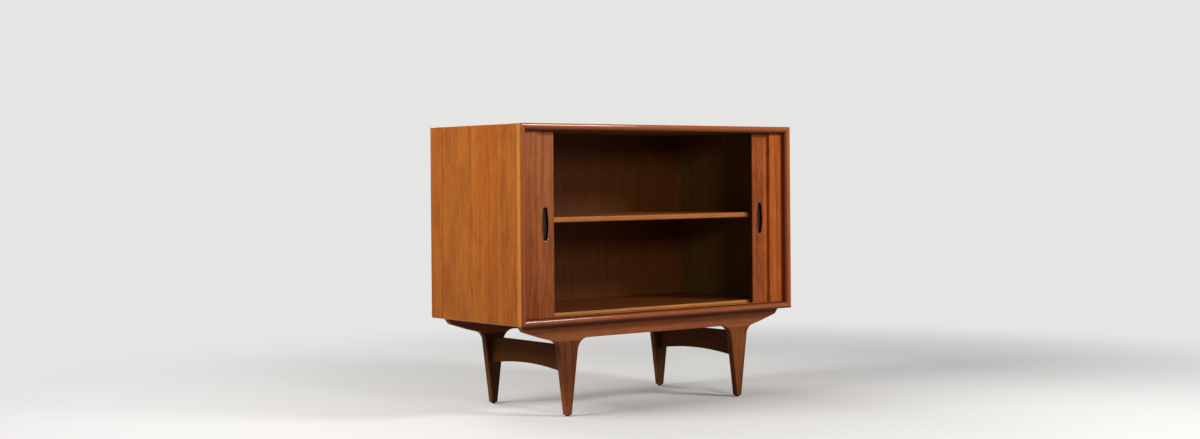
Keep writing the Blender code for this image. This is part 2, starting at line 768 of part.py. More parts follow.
def frame_body(front):
    """The whole leg frame as one solid, with its long edges rounded."""
    right = frame_corners()
    left = [(-x, z, radius) for x, z, radius in right[::-1]]
    outline = rounded_outline(right + left)
    bm = prism(outline, front_view, (0, FRAME_THICKNESS, 0))
    top = BASE_HEIGHT - SEAM
    edges = [
        edge
        for edge in bm.edges
        if edge.verts[0].co.y == edge.verts[1].co.y and min(vert.co.z for vert in edge.verts) < top - SEAM
    ]
    round_edges(bm, edges, FRAME_EDGE_ROUND)
    return move(bm, (0, front, 0))


def build_rail(name, front, group):
    """The rail and its wings: the leg frame above the leg seats, bored for two screws."""
    bm = saw(frame_body(front), (0, 0, LEG_SEAT + SEAM / 2), (0, 0, -1))
    at = Vector((0, front, BASE_HEIGHT))
    rail = add_piece(name, move(bm, -at), "frame_teak", at, group)
    middle = front + FRAME_THICKNESS / 2
    bores = bmesh.new()
    for side in (-1, 1):
        x = side * BASE_SCREW_X
        bottom = BASE_HEIGHT - RAIL_HEIGHT
        step = bottom + COUNTERBORE_DEPTH
        bore = [
            (0, bottom - CUT_OVERRUN),
            (COUNTERBORE_RADIUS, bottom - CUT_OVERRUN),
            (COUNTERBORE_RADIUS, step),
            (BASE_SCREW_SHANK + SCREW_CLEARANCE, step),
            (BASE_SCREW_SHANK + SCREW_CLEARANCE, BASE_HEIGHT + CUT_OVERRUN),
            (0, BASE_HEIGHT + CUT_OVERRUN),
        ]
        join(bores, move(turned(bore), (x, middle, 0)))
    combine(rail, add_cutter(f"{name}_bores", bores), "DIFFERENCE")


def build_leg(name, side, front, group):
    """One tapered leg: the part of the leg frame below the seat, on one side."""
    bm = saw(frame_body(front), (0, 0, LEG_SEAT - SEAM / 2), (0, 0, 1))
    other = [vert for vert in bm.verts if vert.co.x * side < 0]
    bmesh.ops.delete(bm, geom=other, context="VERTS")
    middle = front + FRAME_THICKNESS / 2
    at = Vector((side * LEG_CENTRE_X, middle, FOOT_BOTTOM))
    leg = add_piece(name, move(bm, -at), "frame_teak", at, group)
    nail = GLIDE_PIN_RADIUS + SEAM
    start = at - Vector((0, 0, CUT_OVERRUN))
    end = at + Vector((0, 0, GLIDE_PIN_LENGTH + SEAM))
    combine(leg, add_cutter(f"{name}_nail_hole", rod(nail, start, end)), "DIFFERENCE")
    face = front + FRAME_THICKNESS if front == FRONT_FRAME_Y else front
    inward = math.copysign(1, middle - face)
    mortise = tenon(side, face - inward * CUT_OVERRUN, face + inward * (TENON_LENGTH + SEAM), SEAM)
    combine(leg, add_cutter(f"{name}_mortise", mortise), "DIFFERENCE")


def tenon(side, start, end, clearance):
    """The flat tongue that joins a stretcher to a leg, or with a clearance the mortise that it fits."""
    across = TENON_THICKNESS / 2 + clearance
    x = side * STRETCHER_CENTRE_X
    high = BASE_HEIGHT - STRETCHER_TOP_DROP - TENON_SHOULDER
    low = BASE_HEIGHT - STRETCHER_TOP_DROP - STRETCHER_END_HEIGHT + TENON_SHOULDER
    return box((x - across, min(start, end), low - clearance), (x + across, max(start, end), high + clearance))


def build_glide(name, side, front, group):
    """A domed nail glide, with its nail up the middle of the foot."""
    profile = [
        (0, 0),
        (GLIDE_FLAT_RADIUS, 0),
        (GLIDE_RADIUS, GLIDE_HEIGHT / 2),
        (GLIDE_RADIUS, GLIDE_HEIGHT),
        (GLIDE_PIN_RADIUS, GLIDE_HEIGHT),
        (GLIDE_PIN_RADIUS, GLIDE_HEIGHT + GLIDE_PIN_LENGTH - GLIDE_PIN_RADIUS),
        (0, GLIDE_HEIGHT + GLIDE_PIN_LENGTH),
    ]
    at = Vector((side * LEG_CENTRE_X, front + FRAME_THICKNESS / 2, 0))
    add_piece(name, turned(profile), "glide_steel", at, group)


def build_stretcher(name, side, group):
    """A side stretcher with a straight top, an arched underside and a tenon at each end."""
    start = FRONT_FRAME_Y + FRAME_THICKNESS + SEAM
    end = BACK_FRAME_Y - SEAM
    top = BASE_HEIGHT - STRETCHER_TOP_DROP
    bottom = top - STRETCHER_END_HEIGHT
    half = (end - start) / 2
    radius = (half**2 + STRETCHER_RISE**2) / (2 * STRETCHER_RISE)
    spread = math.asin(half / radius)
    centre = ((start + end) / 2, bottom + STRETCHER_RISE - radius)
    under = arc(centre, radius, math.pi / 2 - spread, math.pi / 2 + spread, ARC_STEPS)
    bm = prism([(start, top), (end, top)] + under, side_view, (STRETCHER_THICKNESS, 0, 0))
    long_edges = [
        edge
        for edge in bm.edges
        if edge.verts[0].co.x == edge.verts[1].co.x and edge.verts[0].co.y != edge.verts[1].co.y
    ]
    round_edges(bm, long_edges, STRETCHER_ROUND)
    at = Vector((side * STRETCHER_CENTRE_X - STRETCHER_THICKNESS / 2, start, top))
    stretcher = add_piece(name, move(bm, (0, -at.y, -at.z)), "frame_teak", at, group)
    reach = TENON_LENGTH + SEAM
    tenons = tenon(side, start - reach, start + CUT_OVERRUN, 0)
    join(tenons, tenon(side, end + reach, end - CUT_OVERRUN, 0))
    combine(stretcher, add_cutter(f"{name}_tenons", tenons), "UNION")


def build_base_screws(panel, front, end_name, group):
    """Two screws up through one rail, with pilot holes in the case bottom."""
    middle = front + FRAME_THICKNESS / 2
    head = BASE_HEIGHT - RAIL_HEIGHT + COUNTERBORE_DEPTH - SEAM
    top = BASE_HEIGHT + BASE_SCREW_BITE
    tip = BASE_SCREW_SHANK * 2
    profile = [
        (0, -BASE_SCREW_HEAD_HEIGHT),
        (BASE_SCREW_HEAD, -BASE_SCREW_HEAD_HEIGHT),
        (BASE_SCREW_HEAD, 0),
        (BASE_SCREW_SHANK, 0),
        (BASE_SCREW_SHANK, top - head - tip),
        (0, top - head),
    ]
    pilots = bmesh.new()
    for side_name, side in (("left", -1), ("right", 1)):
        at = Vector((side * BASE_SCREW_X, middle, head))
        add_piece(f"base_screw_{end_name}_{side_name}", turned(profile), "screw_steel", at, group)
        start = (at.x, at.y, BASE_HEIGHT - CUT_OVERRUN)
        end = (at.x, at.y, top + SEAM)
        join(pilots, rod(BASE_SCREW_SHANK + SCREW_CLEARANCE, start, end))
    combine(panel, add_cutter(f"base_pilot_holes_{end_name}", pilots), "DIFFERENCE")


def build_base(bottom_panel, group):
    """Two leg frames, their stretchers, glides and screws."""
    for end_name, front in (("front", FRONT_FRAME_Y), ("rear", BACK_FRAME_Y)):
        build_rail(f"{end_name}_rail", front, group)
        for side_name, side in (("left", -1), ("right", 1)):
            build_leg(f"{end_name}_{side_name}_leg", side, front, group)
            build_glide(f"{end_name}_{side_name}_glide", side, front, group)
        build_base_screws(bottom_panel, front, end_name, group)
    for side_name, side in (("left", -1), ("right", 1)):
        build_stretcher(f"{side_name}_stretcher", side, group)


def main():
    clear_scene()
    case = add_group("case", (0, 0, BASE_HEIGHT))
    base = add_group("base", (0, 0, 0))
    shelf = add_group("shelf_lift", (0, FRONT + SHELF_SETBACK, SHELF_BOTTOM))
    panels = build_case(case)
    build_posts(case)
    build_partitions(case)
    build_pins(case)
    build_inside(case, shelf)
    for side_name, side in (("left", -1), ("right", 1)):
        door = add_group(f"{side_name}_door", (side * STILE_INNER_X, TRACK_Y, INSIDE_BOTTOM))
        build_stile(f"{side_name}_lead_stile", side, door)
        build_curtain(f"{side_name}_tambour", side, door)
    build_base(panels["bottom_panel"], base)
    bpy.context.view_layer.update()


main()
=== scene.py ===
"""Tambour door cabinet in oiled teak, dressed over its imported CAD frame.

Units are metres, in the frame's own axes: +Z up, +X to the right of someone facing the doors, and +Y to the
back.
"""

import json
import math

import bmesh
import bpy
from bpy.props import FloatProperty, FloatVectorProperty, PointerProperty
from mathutils import Matrix, Vector

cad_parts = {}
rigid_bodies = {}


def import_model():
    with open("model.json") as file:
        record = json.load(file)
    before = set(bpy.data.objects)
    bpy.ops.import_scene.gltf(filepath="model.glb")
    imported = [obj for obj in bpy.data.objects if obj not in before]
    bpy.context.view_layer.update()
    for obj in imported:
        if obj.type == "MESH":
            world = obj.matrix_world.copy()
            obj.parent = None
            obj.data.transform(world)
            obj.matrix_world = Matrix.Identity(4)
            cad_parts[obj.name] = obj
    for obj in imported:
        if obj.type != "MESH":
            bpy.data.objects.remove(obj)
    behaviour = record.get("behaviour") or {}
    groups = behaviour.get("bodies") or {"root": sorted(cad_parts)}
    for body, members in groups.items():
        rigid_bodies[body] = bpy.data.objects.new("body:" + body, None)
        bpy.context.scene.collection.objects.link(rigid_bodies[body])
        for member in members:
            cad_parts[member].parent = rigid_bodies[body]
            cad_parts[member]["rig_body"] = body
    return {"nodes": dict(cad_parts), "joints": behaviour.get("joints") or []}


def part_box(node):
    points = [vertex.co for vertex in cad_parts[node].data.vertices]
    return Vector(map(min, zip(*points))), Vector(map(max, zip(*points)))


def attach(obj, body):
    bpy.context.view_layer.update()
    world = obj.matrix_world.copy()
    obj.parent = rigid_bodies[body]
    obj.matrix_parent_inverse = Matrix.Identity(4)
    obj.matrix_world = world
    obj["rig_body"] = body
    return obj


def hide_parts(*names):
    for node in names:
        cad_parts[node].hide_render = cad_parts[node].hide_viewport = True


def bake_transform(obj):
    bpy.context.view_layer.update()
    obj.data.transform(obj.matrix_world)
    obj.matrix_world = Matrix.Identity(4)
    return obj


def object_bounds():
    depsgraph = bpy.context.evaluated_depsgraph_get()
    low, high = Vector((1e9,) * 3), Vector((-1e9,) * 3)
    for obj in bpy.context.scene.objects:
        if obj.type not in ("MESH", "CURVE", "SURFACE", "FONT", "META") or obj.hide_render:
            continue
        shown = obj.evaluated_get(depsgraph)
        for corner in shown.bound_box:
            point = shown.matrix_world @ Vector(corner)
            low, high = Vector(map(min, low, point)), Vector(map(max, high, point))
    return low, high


bl_info = {
    "name": "Tambour Door Cabinet",
    "version": (1, 0, 0),
    "blender": (4, 5, 0),
    "location": "View3D > Sidebar > Cabinet",
    "description": "Dresses a teak cabinet with sliding tambour doors, and lights it in a plain studio",
    "category": "Object",
}

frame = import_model()
CAD_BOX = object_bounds()

# Mesh clean-up of the copied boards
WELD = 0.00002
FLAT_ANGLE = math.radians(0.6)
SHARP_ANGLE = math.radians(34)

# Leans of a normal that tell a board's level faces, rounded corners, nose and sides apart
LEVEL_LEAN = 0.01
CORNER_LEAN = 0.1
NOSE_LEAN = 0.2
SIDE_LEAN = 0.5

# Shortest edge that runs along a board, and not through its thickness
LONG_EDGE = 0.1

# Turns that lay the pattern's first axis along the grain
GRAIN_TURN = {"X": (0, 0, 0), "Y": (0, 0, -math.pi / 2), "Z": (0, math.pi / 2, 0)}

# The piece that each case board becomes, the way it faces, its grain, and its place in the log
CASE_BOARDS = {
    "top_panel": ("top_board", (0, 0, 1), "X", (0.31, 0.17, 0.05)),
    "bottom_panel": ("bottom_board", (0, 0, -1), "X", (0.74, 0.41, 0.29)),
    "left_side": ("left_board", (-1, 0, 0), "Z", (0.13, 0.66, 0.38)),
    "right_side": ("right_board", (1, 0, 0), "Z", (0.57, 0.23, 0.81)),
}

# How teak is cut and finished, then where each kind of piece differs from that
OILED = {
    "band_width": 0.010,
    "contrast": 1.0,
    "clouds": 0.6,
    "rough": 0.40,
    "wear": 0.35,
    "gloss": 0.10,
    "relief": 0.25,
}
CUTS = {
    "case_veneer": {"band_width": 0.013, "clouds": 1.0},
    "lipping": {"band_width": 0.006, "contrast": 0.8, "wear": 0.2},
    "nose": {"band_width": 0.006, "contrast": 0.6, "rough": 0.13, "wear": 0, "gloss": 0.30, "relief": 0.08},
    "corner": {"band_width": 0.013, "contrast": 0.6, "rough": 0.20, "wear": 0, "gloss": 0.35},
    "inner_wall": {"band_width": 0.014, "contrast": 0.9, "rough": 0.55},
    "back": {"band_width": 0.016, "contrast": 0.9, "rough": 0.5, "gloss": 0.15},
    "ply": {"band_width": 0.022, "contrast": 0.7, "rough": 0.6},
    "inside_veneer": {"band_width": 0.012, "contrast": 0.9},
    "inside_edge": {"band_width": 0.006, "contrast": 0.7, "rough": 0.34},
    "post": {"band_width": 0.006, "contrast": 1.4},
    "left_stile": {"band_width": 0.006, "contrast": 1.5, "wear": 0.6},
    "right_stile": {"band_width": 0.006, "contrast": 2.0, "wear": 0.6},
    "recess": {"band_width": 0.008, "contrast": 0.9, "rough": 0.6, "wear": 0},
    "recess_rim": {"band_width": 0.006, "rough": 0.16, "wear": 0, "gloss": 0.9, "relief": 0.05},
    "slat": {"band_width": 0.005, "contrast": 1.1},
    "rail": {"band_width": 0.009, "contrast": 0.9, "clouds": 1.0},
    "leg": {"band_width": 0.009, "contrast": 1.2, "clouds": 1.3, "gloss": 0.08},
    "stretcher": {"contrast": 0.9, "gloss": 0.03},
}

# Tints of the wood's own colour: in its figure, and on worn arrises, where the paling also paints a
# highlight; then the painted shade at the bottom and painted light at the top of a light gradient
PALE_GRAIN = (1.50, 1.62, 1.75)
DEEP_GRAIN = (0.52, 0.42, 0.36)
RUDDY_TINT = (1.02, 0.80, 0.66)
PORE_TINT = (0.34, 0.25, 0.22)
WEAR_AND_HIGHLIGHT_TINT = (1.55, 1.65, 1.80)
GRADIENT_SHADE_TINT = (0.78, 0.70, 0.68)
GRADIENT_LIGHT_TINT = (1.20, 1.31, 1.52)

# The painted shade on a nose's inner slope, and the leans at which inner and outer painted shades start and
# are full
PLAIN = (1.0, 1.0, 1.0)
NOSE_PAINTED_SHADE = (0.30, 0.20, 0.10)
INNER_LEANS = (0.20, 0.85)
OUTER_LEANS = (0.04, 0.38)

# Where a board's painted light differs: its nose's tone, its inner and outer painted shade, and the tone of
# its inner veneer
BOARD_PAINTED_LIGHT = {
    # Top: painted shade, greyer than the rest, on its inner veneer
    "top_panel": {"inner_leans": (0.05, 0.65), "inside": (0.32, 0.60, 1.50)},
    # Bottom: painted shade on its nose's down-facing slope, and a painted reflection that makes its inner
    # veneer paler
    "bottom_panel": {"outer": (0.26, 0.19, 0.12), "inside": (1.70, 2.40, 5.00)},
    # Right: a paler nose that paints the highlight on its crest, and painted shade on its inner slope
    "right_side": {"tone": (1.12, 1.12, 1.12), "inner": (0.42, 0.28, 0.06)},
}

# Other slopes with painted light and shade: the way they face, the tint, and the leans where it starts and
# is full
# Painted shade on the left-facing wall of the finger recess
RECESS_PAINTED_SHADE = [((-1, 0, 0), (0.16, 0.18, 0.20), 0.05, 0.60)]
# Painted light on the down-facing rounded edges of the rails and wings
RAIL_PAINTED_LIGHT = [((0, 0, -1), (2.4, 2.2, 1.5), 0.20, 0.85)]
# Painted shade on the right stile's left-facing edge
STILE_PAINTED_SHADE = {"left": [], "right": [((-1, 0, 0), (0.20, 0.30, 0.50), 0.50, 0.95)]}
# Painted light on the outer faces of the legs
LEG_PAINTED_LIGHT = {
    "left": [((-1, 0, 0), (1.6, 1.5, 1.3), 0.20, 0.85)],
    "right": [((1, 0, 0), (1.6, 1.5, 1.3), 0.20, 0.85)],
}

# Depth of the solid front edge on the boards inside
LIPPING_ON = {"interior_floor": 0.0012, "shelf": 0.008}

# Each leg's tone against the others, which paints the light and shade that falls on it: the rear left
# darker, the front right paler
LEG_PAINTED_TONES = {
    "front_left": (1.00, 1.00, 1.00),
    "front_right": (1.22, 1.20, 1.14),
    "rear_left": (0.53, 0.61, 0.50),
    "rear_right": (0.95, 1.32, 1.35),
}

# The paler strip of each lead stile beside its post: how wide it is, and how much paler than the rest
PALE_STRIP_WIDTH = 0.017
PALE_STRIP_TONES = (1.20, 1.20, 1.20)

# How far the finger recess reaches from the stile's middle, as shares of the stile's width and height
RECESS_REACH = 0.30
RECESS_TALL = 0.15

# Where the pocket run of a curtain starts: a plane across the bend, this far in from the curtain's outer
# face and this far behind the front track, square to a line at this turn from the front
BEND_INSET = 0.006
BEND_DEPTH = 0.020
BEND_TURN = math.radians(68)

# A curtain's faces that are its canvas: how squarely they face inwards, and the smallest one's area
CANVAS_LEAN = 0.9
CANVAS_AREA = 0.001

# The front run: canvas tucked into the stile's kerf, room left at stile and post, and a slat's crown
CANVAS_TUCK = 0.009
RUN_CLEARANCE = 0.001
CROWN_STEPS = 5
CROWN_SHOULDER = 0.7

# The turn in radians of the driver slots on the screw heads, and the wall left round a slot
SLOT_TURN = 0.5
SLOT_WALL = 0.00025

# What pins, screws and glides tarnish to
BRASS_TARNISH = (0.20, 0.13, 0.06)
STEEL_TARNISH = (0.34, 0.31, 0.27)
BLACK_TARNISH = (0.012, 0.010, 0.009)


def colour_setting(name, description, default):
    return FloatVectorProperty(
        name=name, description=description, default=default, subtype="COLOR", size=3, min=0, max=1
    )


def length_setting(name, description, default):
    return FloatProperty(
        name=name, description=description, default=default, min=0, unit="LENGTH", precision=4
    )


def power_setting(name, description, default):
    return FloatProperty(name=name, description=description, default=default, min=0, unit="POWER")


class CabinetFinishes(bpy.types.PropertyGroup):
    """Colours of the woods, the cloth and the metals. Each wood has its mean colour."""

    case: colour_setting("Case", "Veneer on the outside of the case", (0.414, 0.117, 0.0112))
    lipping: colour_setting("Lipping", "Solid front edges, seen from the side", (0.573, 0.211, 0.038))
    nose: colour_setting("Nose", "Crowned front of the solid edges", (0.340, 0.075, 0.0055))
    left_post: colour_setting("Left post", "Fixed post at the left", (0.295, 0.075, 0.0174))
    right_post: colour_setting("Right post", "Fixed post at the right", (0.410, 0.0915, 0.0144))
    left_stile: colour_setting("Left stile", "Lead stile of the left door", (0.310, 0.083, 0.021))
    right_stile: colour_setting("Right stile", "Lead stile of the right door", (0.307, 0.072, 0.0144))
    slats: colour_setting("Slats", "Slats of both curtains", (0.325, 0.082, 0.020))
    shelf: colour_setting("Shelf", "Veneer of the shelf", (0.280, 0.080, 0.015))
    shelf_edge: colour_setting("Shelf edge", "Rounded front edge of the shelf", (0.424, 0.150, 0.041))
    rail: colour_setting("Rails", "Rails and their wings", (0.269, 0.081, 0.0273))
    leg: colour_setting("Legs", "Tapered legs", (0.164, 0.0467, 0.013))
    stretcher: colour_setting("Stretchers", "Boards that join the leg frames", (0.149, 0.052, 0.0106))
    # The back's veneer is set darker still, partly as painted shade inside the case
    back: colour_setting("Back", "Dark veneer inside the back", (0.121, 0.0357, 0.0048))
    left_wall: colour_setting("Left inner wall", "Dark veneer at the left", (0.175, 0.062, 0.013))
    right_wall: colour_setting("Right inner wall", "Dark veneer at the right", (0.188, 0.100, 0.027))
    # The raised floor's veneer is set dark, partly as painted shade under the shelf and top
    floor: colour_setting("Raised floor", "Veneer of the raised floor", (0.146, 0.040, 0.008))
    floor_edge: colour_setting("Floor edge", "Pale front edge of the raised floor", (0.450, 0.200, 0.060))
    # The wood inside the finger recess is set dark, partly as painted shade
    recess: colour_setting("Finger recess", "Bare wood inside the recess", (0.062, 0.026, 0.013))
    ply: colour_setting("Back ply", "Bare plywood at the back", (0.360, 0.190, 0.085))
    canvas: colour_setting("Canvas", "Cloth behind the slats", (0.330, 0.270, 0.190))
    brass: colour_setting("Brass", "Shelf pins", (0.560, 0.400, 0.160))
    steel: colour_setting("Steel", "Screws", (0.620, 0.605, 0.580))
    black_steel: colour_setting("Blackened steel", "Glides under the feet", (0.030, 0.028, 0.026))


class CabinetShapes(bpy.types.PropertyGroup):
    """Small sizes that dress the CAD solids."""

    lipping_width: length_setting("Lipping width", "Depth of the solid front edge", 0.019)
    nose_arris: length_setting("Nose arris", "Rounding where a board's face meets its nose", 0.0005)
    board_arris: length_setting("Board arris", "Rounding on the long back edges of the case", 0.0007)
    recess_lip: length_setting("Recess lip", "Rounding round the mouth of the finger recess", 0.0015)
    slat_pitch: length_setting("Slat pitch", "Distance between the middles of two slats", 0.0125)
    slat_gap: length_setting("Slat gap", "Open line between two slats", 0.0009)
    slat_thickness: length_setting("Slat thickness", "From the cloth to the crown of a slat", 0.0062)
    slat_crown: length_setting("Slat crown", "How far a slat falls from its middle to its edge", 0.0016)
    canvas_thickness: length_setting("Canvas thickness", "Cloth that the slats are glued to", 0.0012)
    slot_width: length_setting("Screw slot width", "Width of the slot across a screw head", 0.0011)
    slot_depth: length_setting("Screw slot depth", "Depth of the slot across a screw head", 0.0009)


class CabinetStage(bpy.types.PropertyGroup):
    """Floor, backdrop and lamps."""

    floor: colour_setting("Floor", "Plain pale studio floor", (0.720, 0.710, 0.695))
    bounce: colour_setting("Floor bounce", "Light that the floor gives back", (0.160, 0.145, 0.130))
    backdrop: colour_setting("Backdrop", "What shows behind the cabinet", (0.790, 0.785, 0.775))
    room_level: FloatProperty(name="Room light", description="Level of even light", default=0.13, min=0)
    fill_power: power_setting("Fill lamp", "Low lamp in front", 22)
    key_power: power_setting("Key lamp", "High lamp at the right front", 58)
    side_power: power_setting("Side lamp", "High lamp at the left", 98)
    rear_power: power_setting("Rear lamp", "Wide lamp behind", 60)


# Name, its power setting, place, point it faces, width and height
LAMPS = (
    ("fill_lamp", "fill_power", (-0.50, -2.90, 1.26), (0, 0, 0.45), 0.45, 0.45),
    ("key_lamp", "key_power", (1.36, -2.40, 1.95), (0, 0, 0.50), 0.80, 0.55),
    ("side_lamp", "side_power", (-2.90, 0.35, 2.40), (-0.5, 0, 0.50), 1.70, 1.70),
    ("rear_lamp", "rear_power", (-0.10, 3.40, 2.70), (0, 0, 0.45), 2.00, 1.50),
)

# The floor, and the ring in which it fades into the backdrop, round a point under the cabinet's shadow
FLOOR_RADIUS = 60
FADE_CENTRE = (0.3, 0.0, 0.0)
FADE_RADII = (1.1, 2.6)

# The camera's place, and its heading, tilt and roll in radians
CAMERA_PLACE = (-3.1098, -3.8842, 0.6575)
CAMERA_TURNS = (0.6650, -0.0033, -0.0082)


def add_node(tree, kind, inputs=None, **settings):
    """A node with its settings, and with each named input set to a value or linked to a socket."""
    node = tree.nodes.new(kind)
    for key, value in settings.items():
        setattr(node, key, value)
    for key, value in (inputs or {}).items():
        if isinstance(value, bpy.types.NodeSocket):
            tree.links.new(value, node.inputs[key])
        else:
            node.inputs[key].default_value = value
    return node


def maths(tree, operation, first, second=0.0):
    node = add_node(tree, "ShaderNodeMath", {0: first, 1: second}, operation=operation)
    return node.outputs[0]


def times(tree, first, second):
    return maths(tree, "MULTIPLY", first, second)


def around(tree, value, amount):
    """A zero-to-one pattern centred on nought and scaled."""
    return times(tree, maths(tree, "SUBTRACT", value, 0.5), amount)


def total(tree, first, *others):
    for other in others:
        first = maths(tree, "ADD", first, other)
    return first


def between(tree, value, low, high, to_low=0.0, to_high=1.0, kind="SMOOTHSTEP"):
    """The value remapped from one range to another, held at both ends."""
    inputs = {"Value": value, "From Min": low, "From Max": high, "To Min": to_low, "To Max": to_high}
    return add_node(tree, "ShaderNodeMapRange", inputs, interpolation_type=kind).outputs["Result"]


def vector_maths(tree, operation, first, second=(0, 0, 0)):
    return add_node(tree, "ShaderNodeVectorMath", {0: first, 1: second}, operation=operation).outputs


def stretched(tree, vector, scale):
    """The pattern's coordinates, scaled along each axis."""
    return vector_maths(tree, "MULTIPLY", vector, scale)["Vector"]


def lean(tree, first, second):
    """How far two directions agree: one where they are the same, nought where they are square."""
    return vector_maths(tree, "DOT_PRODUCT", first, second)["Value"]


def mixed(tree, share, first, second, blend="MIX"):
    """Two colours mixed by a share."""
    inputs = {0: share, 6: first, 7: second}
    return add_node(tree, "ShaderNodeMix", inputs, data_type="RGBA", blend_type=blend).outputs[2]


def opaque(colour):
    return (*colour, 1.0)


def tinted(tree, share, colour, tint):
    """A colour multiplied by a tint, as far as the share says."""
    return mixed(tree, share, colour, tint, "MULTIPLY")


def noise(tree, vector, scale=1.0, detail=2.0, roughness=0.5, distortion=0.0):
    inputs = {"Vector": vector, "Scale": scale, "Detail": detail}
    inputs |= {"Roughness": roughness, "Distortion": distortion}
    return add_node(tree, "ShaderNodeTexNoise", inputs).outputs[0]


def new_group(name, inputs, outputs):
    """An empty shader group with its sockets, and its input and output nodes."""
    group = bpy.data.node_groups.new(name, "ShaderNodeTree")
    for label, kind, value in inputs:
        socket = group.interface.new_socket(name=label, in_out="INPUT", socket_type=kind)
        if value is not None:
            socket.default_value = value
    for label, kind in outputs:
        group.interface.new_socket(name=label, in_out="OUTPUT", socket_type=kind)
    return group, group.nodes.new("NodeGroupInput").outputs, group.nodes.new("NodeGroupOutput").inputs


def put_out(group, result, **sockets):
    """Links what a group puts out to its outputs of the same names."""
    for label, socket in sockets.items():
        group.links.new(socket, result[label])


# Layers of teak's figure: repeats per metre along and across it, then detail, roughness and distortion
TEAK_LAYERS = {
    "wander": (1.5, 4.5, 2.0),
    "waver": (6.0, 22.0, 1.0),
    "broad": (1.1, 7.0, 1.0),
    "clouds": (8.0, 27.0, 3.0, 0.6, 0.5),
    "streaks": (2.2, 105.0, 1.0),
    "fibres": (24.0, 340.0, 3.0, 0.65),
    "pores": (95.0, 2100.0, 1.0),
    "ruddy": (0.9, 12.0, 1.0),
}

# The way across the bands, how far they wander and waver, and how much each layer lifts or lowers the tone
ACROSS_BANDS = (0, 0.82, 0.57)
WANDER = 0.060
WAVER = 0.009
TONE_SHARES = {"bands": 0.46, "broad": 0.32, "fibres": 0.80}
STREAK_SHARE = -0.16
CLOUD_SHARE = 0.85

# What pores do to the colour, what bands and pores do to the roughness, and the relief of fibres and pores
PORE_SHARE = 0.40
BAND_ROUGH = -0.10
PORE_ROUGH = 0.16
FIBRE_HEIGHT = 0.35
PORE_HEIGHT = -1.0


def teak_grain_group(name):
    """Teak figure along the first axis: broad tone, wavering bands, streaks, clouds, fibres and pores."""
    group, given, result = new_group(
        name,
        [
            ("Vector", "NodeSocketVector", None),
            ("Wood", "NodeSocketColor", (0.45, 0.14, 0.026, 1)),
            ("Band width", "NodeSocketFloat", 0.011),
            ("Contrast", "NodeSocketFloat", 1.0),
            ("Cloudiness", "NodeSocketFloat", 1.0),
            ("Roughness", "NodeSocketFloat", 0.40),
        ],
        [("Colour", "NodeSocketColor"), ("Roughness", "NodeSocketFloat"), ("Height", "NodeSocketFloat")],
    )
    layers = {}
    for layer, (along, across, *texture) in TEAK_LAYERS.items():
        place = stretched(group, given["Vector"], (along, across, across))
        layers[layer] = noise(group, place, 1.0, *texture)
    bent = total(
        group,
        lean(group, given["Vector"], ACROSS_BANDS),
        around(group, layers["wander"], WANDER),
        around(group, layers["waver"], WAVER),
    )
    band_at = maths(group, "DIVIDE", bent, given["Band width"])
    wave = {"W": band_at, "Scale": 1.0, "Detail": 3.0, "Roughness": 0.6}
    layers["bands"] = add_node(group, "ShaderNodeTexNoise", wave, noise_dimensions="1D").outputs[0]
    streaks = between(group, layers["streaks"], low=0.60, high=0.74)
    pores = between(group, layers["pores"], low=0.60, high=0.72)
    shares = [around(group, layers[layer], share) for layer, share in TONE_SHARES.items()]
    figure = total(group, *shares, times(group, streaks, STREAK_SHARE))
    clouds = times(group, around(group, layers["clouds"], CLOUD_SHARE), given["Cloudiness"])
    tone = total(group, times(group, total(group, figure, clouds), given["Contrast"]), 0.5)
    pale = tinted(group, 1.0, given["Wood"], opaque(PALE_GRAIN))
    deep = tinted(group, 1.0, given["Wood"], opaque(DEEP_GRAIN))
    colour = mixed(group, between(group, tone, low=0.0, high=1.0, kind="LINEAR"), deep, pale)
    ruddy = between(group, layers["ruddy"], low=0.42, high=0.72, to_high=0.45)
    colour = tinted(group, ruddy, colour, opaque(RUDDY_TINT))
    colour = tinted(group, times(group, pores, PORE_SHARE), colour, opaque(PORE_TINT))
    uneven = total(group, around(group, layers["bands"], BAND_ROUGH), times(group, pores, PORE_ROUGH))
    rough = total(group, given["Roughness"], uneven)
    height = total(group, times(group, layers["fibres"], FIBRE_HEIGHT), times(group, pores, PORE_HEIGHT))
    put_out(group, result, Colour=colour, Roughness=rough, Height=height)
    return group


# How far wear and its painted highlight reach from an arris, and how much smoother wear makes the wood
WEAR_REACH = 0.0016
WEAR_POLISH = -0.14


def worn_highlit_edge_group(name):
    """Arrises that hands and dusters have rubbed smoother, and paler in patches; the paleness also paints
    the highlight that an arris catches.
    """
    group, given, result = new_group(
        name,
        [
            ("Vector", "NodeSocketVector", None),
            ("Colour", "NodeSocketColor", (0.5, 0.2, 0.06, 1)),
            ("Roughness", "NodeSocketFloat", 0.4),
            ("Wear", "NodeSocketFloat", 0.35),
        ],
        [("Colour", "NodeSocketColor"), ("Roughness", "NodeSocketFloat")],
    )
    rounded = add_node(group, "ShaderNodeBevel", {"Radius": WEAR_REACH}, samples=4).outputs[0]
    flat = add_node(group, "ShaderNodeNewGeometry").outputs["Normal"]
    turned = between(group, lean(group, rounded, flat), low=0.995, high=0.88)
    patches = noise(group, given["Vector"], scale=42.0, detail=3.0)
    patches = between(group, patches, low=0.34, high=0.62, to_low=0.3)
    mask = times(group, times(group, turned, patches), given["Wear"])
    # Paler arrises: partly wear, partly a painted highlight
    colour = tinted(group, mask, given["Colour"], opaque(WEAR_AND_HIGHLIGHT_TINT))
    rough = total(group, given["Roughness"], times(group, mask, WEAR_POLISH))
    put_out(group, result, Colour=colour, Roughness=rough)
    return group


